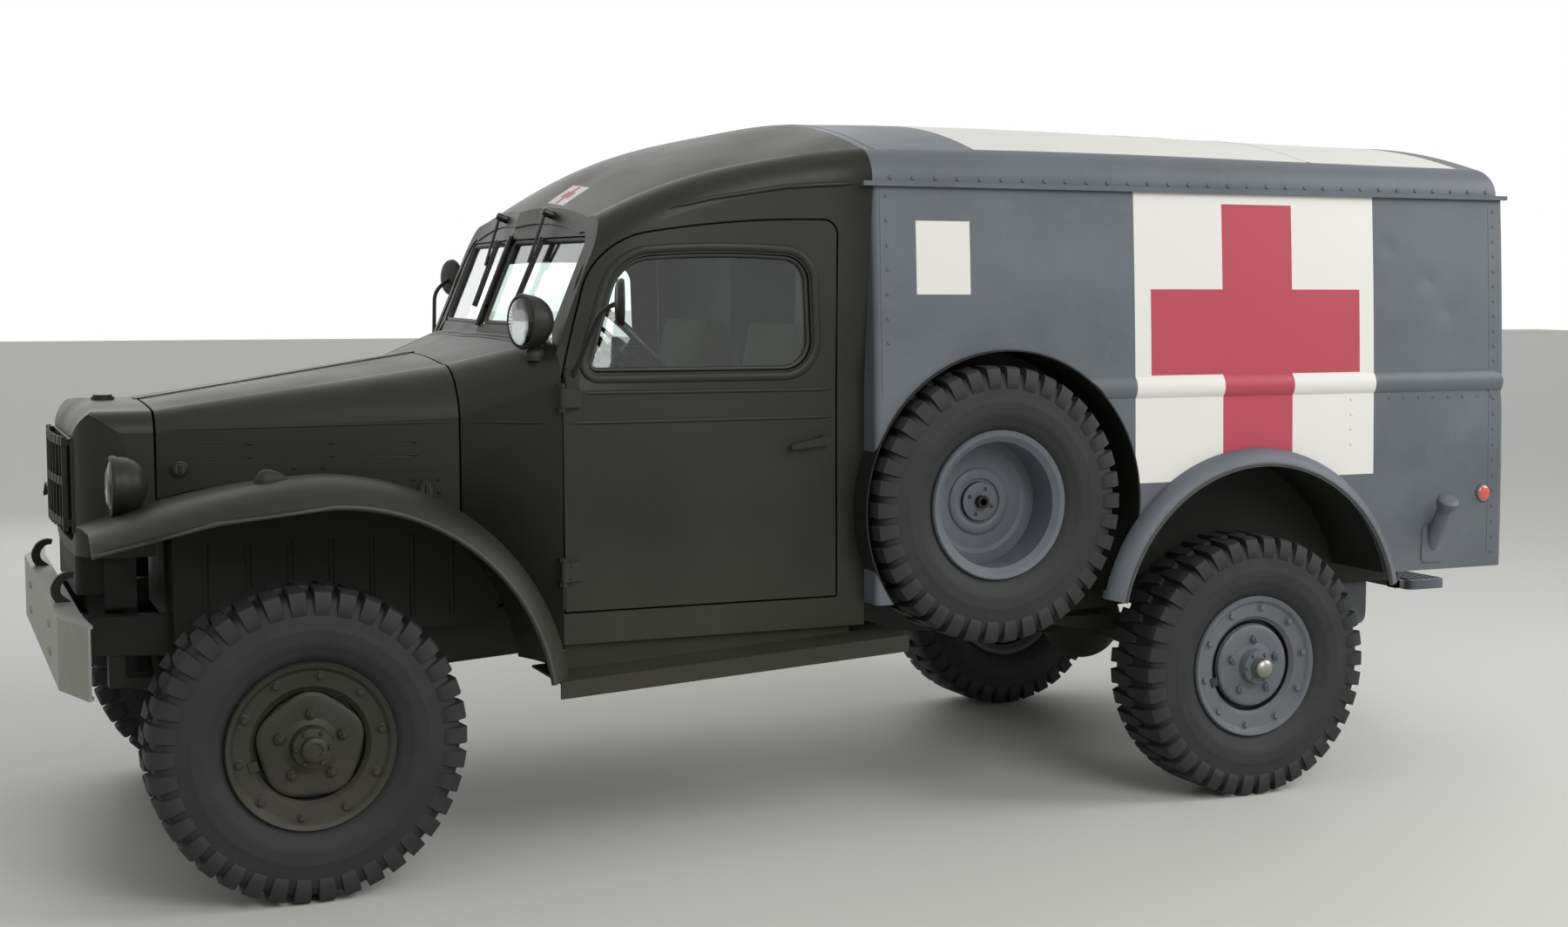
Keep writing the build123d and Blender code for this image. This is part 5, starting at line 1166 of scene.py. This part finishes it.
class AMBULANCE_OT_lamp_bodies(bpy.types.Operator):
    """Bowls, feet and cases of head lamps, spotlight and tail lamps, their glass to the front"""

    bl_idname = "ambulance.lamp_bodies"
    bl_label = "Lamp Bodies"

    def execute(self, context):
        cases = Shape()
        for side in SIDES.values():
            lamp_bowl(cases, beside(HEAD_LAMP, side), (1, 0, 0), HEAD_RADIUS)
            cases.turn(HEAD_FOOT_PROFILE, stand(beside((*HEAD_FOOT, 0), side), (0, 0, 1)), 24)
            cases.turn([(40, 0), (40, 50), (37, TAIL_DEPTH)], stand(beside(TAIL_LAMP, side), (1, 0, 0)), 40)
        lamp_bowl(cases, spot(*SPOTLIGHT), (cos(SPOT_YAW), sin(SPOT_YAW), 0), SPOT_RADIUS)
        cases.turn(SPOT_FOOT_PROFILE, stand(spot(*SPOT_FOOT, 0), (0, 0, 1)), 24)
        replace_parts(cases.finish("lamp_cases", "cab", truck), "lamps")
        return {"FINISHED"}


# Brush guard in front of the nose: place of its middle and ends, rod spacing and strap heights
GUARD_MIDDLE, GUARD_END, GUARD_PITCH, GUARD_STRAPS = -588, -568, 58, (995, 1112, 1226)
# Hook that opens rearwards, as x and z
HOOK = (
    [(-608, 788), (-568, 788), (-583, 800)] + arc((-583, 800), (-595, 821), (-587, 843))
    + arc((-587, 843), (-577, 852), (-561, 854)) + [(-557, 869)] + arc((-557, 869), (-594, 867), (-613, 847))
    + arc((-613, 847), (-621, 818), (-608, 788))[:-1]
)
# Apron between nose and bumper: its bend as x and y, and its heights
APRON_BEND = ((-420, -306), (-545, -306), (-545, 306), (-420, 306))
APRON_HEIGHTS = (788, 908)


class AMBULANCE_OT_nose_fittings(bpy.types.Operator):
    """Brush guard, apron, baffles and hooks at the nose, at the places that the photograph shows"""

    bl_idname = "ambulance.nose_fittings"
    bl_label = "Nose Fittings"

    def execute(self, context):
        half = GUARD_PITCH * 5

        def guard_x(y):
            """Place of the bowed guard at a y."""
            return GUARD_MIDDLE + (GUARD_END - GUARD_MIDDLE) * (y / half) ** 2

        guard = Shape()
        for z in GUARD_STRAPS:
            line = [spot(guard_x(y), y, z) for y in range(-half - 7, half + 8, 21)]
            guard.sweep([(-12, -8), (12, -8), (12, 0), (-12, 0)], line, (-1, 0, 0))
        for y in range(-half, half + 1, GUARD_PITCH):
            x = guard_x(y) + 4
            guard.block((x - 5, x + 5), (y - 5, y + 5), (GUARD_STRAPS[0] - 20, GUARD_STRAPS[-1] + 14))
        # Outer bars, each on two brackets
        for side in SIDES.values():
            guard.block((-574, -560), (side * 284, side * 296), (972, 1240))
            for z in (GUARD_STRAPS[0], GUARD_STRAPS[-1]):
                guard.block((-566, -541), (side * 280, side * 300), (z - 9, z + 9))
        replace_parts(guard.finish("guard_bars", "cab", truck), "brush_guard")
        bend = curve_points([spot(x, y, 0) for x, y in APRON_BEND], 0.03)
        rows = []
        for height in APRON_HEIGHTS:
            outer = [Vector((p.x, p.y, height / 1000)) for p in bend]
            inner = [Vector((p.x + 0.003, p.y * 0.99, height / 1000)) for p in bend[::-1]]
            rows.append(outer + inner)
        apron = Shape().rings(rows)
        # Baffles inside the mouth, back to the radiator
        for side in SIDES.values():
            apron.block((-538, -466), (side * 308, side * 312), (907, 1236))
        apron.block((-538, -466), (-310, 310), (904, 908))
        apron.finish("nose_apron", "chassis", truck)
        hooks = Shape()
        for side in SIDES.values():
            hooks.prism(HOOK, side * 400, side * 424)
        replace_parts(hooks.finish("rear_facing_hooks", "cab", truck), "tow_hooks")
        return {"FINISHED"}


# Rear step: corners as x and y, y of the arms' middles, and first x, last x and spacing of the treads
STEP_CORNERS = ((4101, -450), (4271, -450), (4271, 450), (4101, 450))
STEP_ARM_Y, STEP_TREADS = 402, (4125, 4256, 26)


class AMBULANCE_OT_step(bpy.types.Operator):
    """Rear step with raised treads, as wide as the photograph shows"""

    bl_idname = "ambulance.step"
    bl_label = "Rear Step"

    def execute(self, context):
        outline = curve_points([Vector((*corner, 0)) for corner in STEP_CORNERS], 30, closed=True)
        step = Shape().rings([[spot(p.x, p.y, z) for p in outline] for z in (560, 590, 594)])
        for x in range(*STEP_TREADS):
            step.block((x - 4, x + 4), (-430, 430), (593, 597))
        for side in SIDES.values():
            width = (side * STEP_ARM_Y - 25, side * STEP_ARM_Y + 25)
            step.block((4060, 4140), width, (566, 594))
            step.block((4060, 4076), width, (566, 676))
        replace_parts(step.finish("treaded_step", "box", truck), "rear_step")
        return {"FINISHED"}


class AMBULANCE_OT_lamp_details(bpy.types.Operator):
    """Glasses, rims and reflectors of the lamps, marker lamps, tail lamps and red reflectors"""

    bl_idname = "ambulance.lamp_details"
    bl_label = "Lamp Details"

    def execute(self, context):
        fenders, cowl = skin_of("front_fenders"), skin_of("cowl")
        for word, side in SIDES.items():
            lamp_front(f"head_lamp_{word}", beside(HEAD_LAMP, side), (-1, 0, 0), HEAD_RADIUS)
            bases = [on_top(fenders, -122 + 92 * t, side * 800)[0] for t, _ in MARKER_STEPS]
            shares = [share for _, share in MARKER_STEPS]
            half_dome(bases, shares, 23, 36, 6, 16).finish(f"marker_lamp_{word}", "cab", truck)
            seat = stand(*on_side(skin_of(f"box_side_{word}"), *RED_REFLECTOR, side))
            red = Shape().turn([(26, 1), (26, 5), (22, 8), (12, 10), (1, 11)], seat, 32)
            red.finish(f"side_reflector_{word}", "pale_red_lens", truck)
            ring = Shape().turn([(25, -1), (31, -1), (31, 5), (28, 7.5), (25, 6)], seat, 32, loop=True)
            ring.finish(f"side_reflector_rim_{word}", "box", truck)
            x, y, z = TAIL_LAMP
            tail = stand(beside((x + TAIL_DEPTH, y, z), side), (1, 0, 0))
            lens = Shape().turn([(33, -1), (33, 3), (26, 7), (12, 9), (1, 9.5)], tail, 32)
            lens.finish(f"tail_lens_{word}", "red_lens", truck)
            hoop = Shape().turn([(33, -2), (42, -2), (42, 3), (38, 6), (33, 4)], tail, 32, loop=True)
            hoop.finish(f"tail_rim_{word}", "box", truck)
        lamp_front("spotlight", spot(*SPOTLIGHT), (-cos(SPOT_YAW), -sin(SPOT_YAW), 0), SPOT_RADIUS)
        # Small oval lamp on the cowl below the spotlight, 72 mm long
        base = on_top(cowl, 700, -705)[0]
        bases = [base + Vector((0.036 * (2 * t - 1), 0, 0)) for t, _ in COWL_LAMP_STEPS]
        shares = [share for _, share in COWL_LAMP_STEPS]
        half_dome(bases, shares, 20, 26, 12, 12).finish("cowl_lamp", "cab", truck)
        return {"FINISHED"}


# Rows of rivets on the box's side: first and last place as x and z, and spacing
RIVET_ROWS = (
    ((4070, 760), (4070, 1290), 52), ((4070, 1420), (4070, 1930), 52), ((3462, 1150), (3462, 1300), 50),
    ((3620, 1300), (4060, 1300), 62), ((1745, 1500), (1745, 1940), 80),
)
DRIP_LINE = [(1085, 1893), (1109, 1903), (1213, 1927), (1327, 1945), (1443, 1964), (1551, 1971), (1662, 1977)]
# Rolled edge of the front fender: straight part as x, y and z, then an arc's centre, radius, y and end turn
FENDER_LIP = ((-549, 900, 970), (-394.5, 925, 1009), (-240, 950, 1048), (65, 955, 1079))
FENDER_ARC = (65, 465, 614, 955, 81.6)
# Rolled edge of the rear flare: centre, radius, y and half the span in degrees
FLARE_ARC = (3075, 562, 537, 953, 78)
REAR_PANE = ((139.5, 1400), (469.5, 1400), (469.5, 1760), (139.5, 1760))
# Splash shield: its two y, its foot and where that rises, and its ribs' first and last x and spacing
SHIELD_Y, SHIELD_FOOT, SHIELD_RISE, SHIELD_RIBS = (486, 489), 665, 560, (-210, 500, 118)
BUMPER_BOLTS = [(y, z) for y in (-420, -385, 385, 420) for z in (650, 730)]
ROOF_SEAMS = (1735, 3350)
# Filler: foot and mouth of its neck, and the cap's profile round the mouth
FILLER_NECK = ((3814, -885, 790), (3800, -985, 955))
FILLER_CAP = [(34.5, -20), (36, -18), (36, 2), (32, 6), (18, 8), (1, 8.5)]


def wheel_arc(x, z, radius, y, first, last, steps):
    """Points round a wheel's arch between two angles from the top, in millimetres and degrees."""
    turns = [radians(first + (last - first) * i / steps) for i in range(steps + 1)]
    return [spot(x + radius * sin(turn), y, z + radius * cos(turn)) for turn in turns]


def splash_shield(fenders, side):
    """Sheet between the fender and the frame, with pressed ribs."""
    tops, feet = [], []
    for x in range(-300, 641, 20):
        hit = fenders.ray_cast(spot(x, side * 500, 600), Vector((0, 0, 1)), 0.6)[0]
        tops.append((x, hit.z * 1000 + 2))
        feet.append((x, min(SHIELD_FOOT + max(0, x - SHIELD_RISE) * 0.6, tops[-1][1] - 6)))
    shield = Shape().prism(feet + tops[::-1], *(side * y for y in SHIELD_Y))
    out = Vector((0, side, 0))
    for x in range(*SHIELD_RIBS):
        shield.bead([(spot(x, side * SHIELD_Y[1], z), out) for z in range(700, 941, 20)], 16, 5)
    return shield


class AMBULANCE_OT_body_details(bpy.types.Operator):
    """Rivets, seams, mouldings, rolled edges, shields, rear window beads, bumper bolts and filler cap"""

    bl_idname = "ambulance.body_details"
    bl_label = "Body Details"

    def execute(self, context):
        roof, cab, bumper = (skin_of(node) for node in ("box_roof", "cab_shell", "front_bumper"))
        fenders = skin_of("front_fenders")
        for word, side in SIDES.items():
            skin = skin_of(f"box_side_{word}")
            rivets = [pair for first, last, step in RIVET_ROWS for pair in along_line([first, last], step)]
            heads(f"side_rivets_{word}", all_on_side(skin, rivets, side), 8, (7, 4, 3), "sides", truck)
            gutter = [on_side(roof, x, 1996, side) for x in range(1760, 4080, 76)]
            heads(f"gutter_rivets_{word}", gutter, 8, (8, 5, 3.5), "box", truck)
            side_bead(f"front_seam_{word}", skin, [(1724, 1330), (1724, 1965)], side, 8, 2, "box", truck)
            side_bead(f"rear_seam_{word}", skin, [(4050, 730), (4050, 1965)], side, 6, 1.2, "box", truck)
            side_bead(f"drip_moulding_{word}", cab, DRIP_LINE, side, 15, 7, "cab", truck)
            x, z, radius, y, end = FENDER_ARC
            lip = [beside(place, side) for place in FENDER_LIP]
            lip += wheel_arc(x, z, radius, side * y, 0, end, 30)[1:]
            Shape().sweep(circle(6, 10), lip, (0, side, 0)).finish(f"fender_bead_{word}", "pale", truck)
            x, z, radius, y, end = FLARE_ARC
            lip = wheel_arc(x, z, radius, side * y, -end, end, 40)
            Shape().sweep(circle(5.5, 10), lip, (0, side, 0)).finish(f"flare_bead_{word}", "pale", truck)
            path = curve_points([Vector((side * y, z, 0)) for y, z in REAR_PANE], 60, 6, closed=True)
            places = [(spot(4117, point.x, point.y), Vector((1, 0, 0))) for point in path]
            bead = Shape().bead(places, 22, 6, closed=True)
            bead.finish(f"rear_window_bead_{word}", "box", f"rear_door_{word}")
            splash_shield(fenders, side).finish(f"splash_shield_{word}", "chassis", truck)
        bolts = [on_skin(bumper, spot(-900, y, z), (1, 0, 0)) for y, z in BUMPER_BOLTS]
        heads("bumper_bolts", bolts, 16, (13, 8, 6), "white", truck)
        # Lapped sheet joints across the roof
        for x in ROOF_SEAMS:
            places = [on_top(roof, x, y) for y in range(-780, 781, 30)]
            Shape().bead(places, 12, 1.8).finish(f"roof_seam_{x}", "roof", truck)
        foot, mouth = (spot(*place) for place in FILLER_NECK)
        Shape().turn(FILLER_CAP, stand(mouth, mouth - foot), 32).finish("filler_cap", "box", truck)
        return {"FINISHED"}


class SeatSettings(bpy.types.PropertyGroup):
    """Shape of the cushions"""

    fill: bpy.props.FloatProperty(
        name="Fill", description="How full the cushions are", subtype="FACTOR", default=0.6, min=0, max=1)
    crown: bpy.props.FloatProperty(
        name="Crown", description="Rise of a cushion's middle, in millimetres", default=20, min=0)


SEAT_BOX = ((1140, 742), (1600, 742), (1608, 960), (1140, 960))
# Padded pieces of a seat: name, x and z of the middle, lean in degrees, and length, width and thickness
CUSHIONS = (
    ("seat_cushion", (1345, 1020), 5, (420, 440, 115)),
    ("seat_back", (1575, 1320), -82, (460, 440, 85)),
)
SEAT_Y, SEAT_HALF = 400, 215


def power(value, exponent):
    """Power of a number's size with the number's sign."""
    return abs(value) ** exponent * (1 if value > 0 else -1)


def cushion(name, place, size, crown):
    """Padded cushion with five sewn channels: its top bulges, its sides pull in between the corners."""
    long_mm, wide_mm, thick_mm = size
    rows = []
    steps, around = 30, 40
    for i in range(steps + 1):
        t = 2 * i / steps - 1
        end = max((1 - abs(t) ** 6) ** (1 / 6), 0.55)
        channel = 1 - 0.16 * max(0, 1 - abs(((i + 3) % 6) - 3) * 1.2)
        row = []
        for c, s in circle(1, around):
            x = power(c, 0.35) * wide_mm / 2 * (0.9 + 0.1 * end)
            lift = power(s, 0.4) * thick_mm / 2 * (0.75 + 0.25 * end)
            if s > 0:
                lift += crown * (1 - (x / (wide_mm / 2)) ** 2) * (1 - t ** 4) * channel
            row.append(place @ (Vector((t * long_mm / 2, x, lift)) / 1000))
        rows.append(row)
    return Shape().rings(rows).finish(name, "canvas", truck, 60)


class AMBULANCE_OT_seats(bpy.types.Operator):
    """Canvas cushions and backs on metal boxes, in place of the plain seats"""

    bl_idname = "ambulance.seats"
    bl_label = "Seats"

    def execute(self, context):
        settings = context.scene.ambulance_seats
        for word, side in SIDES.items():
            middle = side * SEAT_Y
            box = Shape().prism(SEAT_BOX, middle - SEAT_HALF, middle + SEAT_HALF)
            piece = box.finish(f"seat_box_{word}", "cab", truck)
            if side == LEFT:
                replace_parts(piece, "seats")
            for name, (x, z), lean, size in CUSHIONS:
                place = Matrix.Translation(spot(x, middle, z)) @ Matrix.Rotation(radians(lean), 4, "Y")
                cushion(f"{name}_{word}", place, size, settings.crown)
        return {"FINISHED"}


# Mirrors: x and z of the glass's middle, and z of the arm's elbow. Then the middle's y, the foot and the turn
MIRRORS = (("left", (858, 1625), 1600), ("right", (880, 1700), 1650))
MIRROR_Y, MIRROR_FOOT, MIRROR_TURN = 982, (772, 1405), radians(16)
FOOT_PLATE = [(-20, -24), (-14, -30), (14, -30), (20, -24), (20, 24), (14, 30), (-14, 30), (-20, 24)]


class AMBULANCE_OT_mirror_glass(bpy.types.Operator):
    """Mirrors turned towards the driver, with arms, foot plates and silvered glass"""

    bl_idname = "ambulance.mirror_glass"
    bl_label = "Mirror Glass"

    def execute(self, context):
        for word, (x, z), elbow_z in MIRRORS:
            side, body = SIDES[word], f"door_{word}"
            facing = Vector((cos(MIRROR_TURN), side * sin(MIRROR_TURN), 0))
            middle = spot(x, side * MIRROR_Y, z)
            foot_x, foot_z = MIRROR_FOOT
            bends = [spot(foot_x, side * 810, foot_z), spot(812, side * 950, elbow_z), middle]
            holder = Shape().sweep(circle(7, 12), curve_points(bends, 0.04, 6), (1, 0, 0))
            holder.slab(FOOT_PLATE, stand(spot(foot_x, side * 800, foot_z), (0, side, 0)), -6, 20, 2)
            holder.turn([(62, -4), (64, -2), (64, 9), (62, 10)], stand(middle, facing), 40)
            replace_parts(holder.finish(f"mirror_holder_{word}", "cab", body), f"mirror_{word}")
            seat = stand(middle + facing * 0.010, facing)
            glass = Shape().turn([(58, -0.5), (58, 1), (56, 1.4), (1, 1.5)], seat, 40)
            glass.finish(f"mirror_glass_{word}", "mirror", body)
            rim = Shape().turn([(57, -2), (65, -9), (66.5, -2), (63, 3), (57, 2.5)], seat, 40, loop=True)
            rim.finish(f"mirror_rim_{word}", "cab", body)
            behind = stand(middle - facing * 0.004, -facing)
            back = Shape().turn([(63, -1), (60, 3), (45, 7), (22, 9), (1, 9.5)], behind, 40)
            back.finish(f"mirror_back_{word}", "cab", body)
        return {"FINISHED"}


def colour_property(name, description, code):
    """Colour setting with its default as an sRGB hex value."""
    return bpy.props.FloatVectorProperty(
        name=name, description=description, subtype="COLOR", size=4, default=srgb(code))


class PaintSettings(bpy.types.PropertyGroup):
    """Colours of the truck"""

    cab: colour_property("Cab", "Enamel of cab, hood and fenders", "#21221c")
    box: colour_property("Box", "Weathered enamel of the load body", "#5b6066")
    chassis: colour_property("Chassis", "Enamel of frame and axles", "#1d1e1a")
    white: colour_property("White", "White of the marked fields", "#d3d2cc")
    red: colour_property("Red", "Red of the crosses", "#a84450")


class AMBULANCE_OT_paint(bpy.types.Operator):
    """Gives every node of the frame its finish"""

    bl_idname = "ambulance.paint"
    bl_label = "Paint"

    def execute(self, context):
        make_finishes()
        for finish, nodes in NODE_FINISHES.items():
            for node in nodes:
                data = frame["nodes"][node].data
                data.materials.clear()
                data.materials.append(finishes[finish])
        return {"FINISHED"}


class StageSettings(bpy.types.PropertyGroup):
    """Floor and camera"""

    floor: colour_property("Floor", "Colour of the floor", "#c9c9c4")
    lens: bpy.props.FloatProperty(
        name="Lens", description="Focal length on a 36 mm wide sensor", unit="CAMERA", default=47.4, min=10)


# Half the floor's length in metres, and strength of the world's light
FLOOR_REACH, WORLD_STRENGTH = 60, 0.5
# Soft lamps: name, place, aim, size in metres, power in watts
AREA_LAMPS = (
    ("key", (0.6, -7.5, 5.2), (1.3, 0, 1.2), 4.0, 300),
    ("rear", (6.5, -3.5, 4.5), (1, 0, 1.2), 3.5, 240),
    ("far", (0.0, 7.0, 5.0), (0, 0, 1.2), 8.0, 130),
)
# Camera as solved from the photograph: place from the front axle, then yaw, pitch and roll in radians
CAMERA_PLACE, CAMERA_TURN = (-1.013, -6.453, 1.666), (0.409, 0.085, 0.002)


class AMBULANCE_OT_stage(bpy.types.Operator):
    """Pale floor, soft lights, white background and the photograph's camera"""

    bl_idname = "ambulance.stage"
    bl_label = "Stage"

    def execute(self, context):
        scene = context.scene
        settings = scene.ambulance_stage
        scene.view_settings.view_transform = "Standard"
        floor = bpy.data.objects.new("floor", bpy.data.meshes.new("floor"))
        corners = [(FLOOR_REACH * x, FLOOR_REACH * y, 0) for x, y in ((-1, -1), (1, -1), (1, 1), (-1, 1))]
        floor.data.from_pydata(corners, [], [(0, 1, 2, 3)])
        scene.collection.objects.link(floor)
        material, _, shader, _ = new_material("studio_floor")
        fill(material.node_tree, shader, {"Base Color": list(settings.floor), "Roughness": 0.6})
        floor.data.materials.append(material)
        self.light(scene)
        yaw, pitch, roll = CAMERA_TURN
        data = bpy.data.cameras.new("photo_camera")
        data.sensor_width = 36
        data.lens = settings.lens
        data.clip_end = 200
        camera = bpy.data.objects.new("photo_camera", data)
        camera.location = (front_axle_x + CAMERA_PLACE[0], *CAMERA_PLACE[1:])
        turn = Euler((pi / 2 - pitch, 0, -yaw)).to_matrix() @ Matrix.Rotation(roll, 3, "Z")
        camera.rotation_euler = turn.to_euler()
        scene.collection.objects.link(camera)
        scene.camera = camera
        return {"FINISHED"}

    def light(self, scene):
        """World that looks white but lights the truck softly, and the soft lamps."""
        world = bpy.data.worlds.new("studio")
        world.use_nodes = True
        scene.world = world
        nodes = world.node_tree
        light = nodes.nodes["Background"]
        fill(nodes, light, {"Color": (1, 1, 1, 1), "Strength": WORLD_STRENGTH})
        white = add_node(nodes, "ShaderNodeBackground", {"Color": (1, 1, 1, 1), "Strength": 1.0})[0]
        rays = add_node(nodes, "ShaderNodeLightPath")
        seen = rays["Is Camera Ray"]
        for ray in ("Is Glossy Ray", "Is Transmission Ray"):
            seen = add_node(nodes, MATH, (seen, rays[ray]), operation="MAXIMUM")[0]
        choice = add_node(nodes, "ShaderNodeMixShader", (seen, light.outputs[0], white))[0]
        nodes.links.new(choice, nodes.nodes["World Output"].inputs["Surface"])
        for name, place, aim, size, watts in AREA_LAMPS:
            data = bpy.data.lights.new(name, "AREA")
            data.size = size
            data.energy = watts
            lamp = bpy.data.objects.new(name, data)
            lamp.location = place
            lamp.rotation_euler = (Vector(aim) - Vector(place)).to_track_quat("-Z", "Y").to_euler()
            scene.collection.objects.link(lamp)


class AMBULANCE_PT_panel(bpy.types.Panel):
    """Lists the ambulance's operators and settings"""

    bl_label = "Ambulance"
    bl_idname = "AMBULANCE_PT_panel"
    bl_space_type = "VIEW_3D"
    bl_region_type = "UI"
    bl_category = "Ambulance"

    def draw(self, context):
        for operator in operators:
            self.layout.operator(operator.bl_idname)
        for owner, group in groups.items():
            settings = getattr(context.scene, owner)
            for name in group.__annotations__:
                self.layout.prop(settings, name)


groups = {
    "ambulance_paint": PaintSettings,
    "ambulance_tyres": TyreSettings,
    "ambulance_wheels": WheelSettings,
    "ambulance_seats": SeatSettings,
    "ambulance_stage": StageSettings,
}
operators = [
    AMBULANCE_OT_stage, AMBULANCE_OT_paint, AMBULANCE_OT_tyres, AMBULANCE_OT_wheel_fittings,
    AMBULANCE_OT_hood_details, AMBULANCE_OT_door_details, AMBULANCE_OT_windscreen_details,
    AMBULANCE_OT_lamp_bodies, AMBULANCE_OT_nose_fittings, AMBULANCE_OT_step,
    AMBULANCE_OT_lamp_details, AMBULANCE_OT_body_details, AMBULANCE_OT_seats, AMBULANCE_OT_mirror_glass,
]


def register():
    """Registers settings, operators and panel."""
    for owner, group in groups.items():
        bpy.utils.register_class(group)
        setattr(bpy.types.Scene, owner, bpy.props.PointerProperty(type=group))
    for item in operators + [AMBULANCE_PT_panel]:
        bpy.utils.register_class(item)


def unregister():
    """Takes panel, operators and settings out again."""
    for item in reversed(operators + [AMBULANCE_PT_panel]):
        bpy.utils.unregister_class(item)
    for owner, group in groups.items():
        delattr(bpy.types.Scene, owner)
        bpy.utils.unregister_class(group)


def main():
    """Runs every operator in order."""
    register()
    for operator in operators:
        group, name = operator.bl_idname.split(".")
        getattr(getattr(bpy.ops, group), name)()


if __name__ == "__main__":
    main()
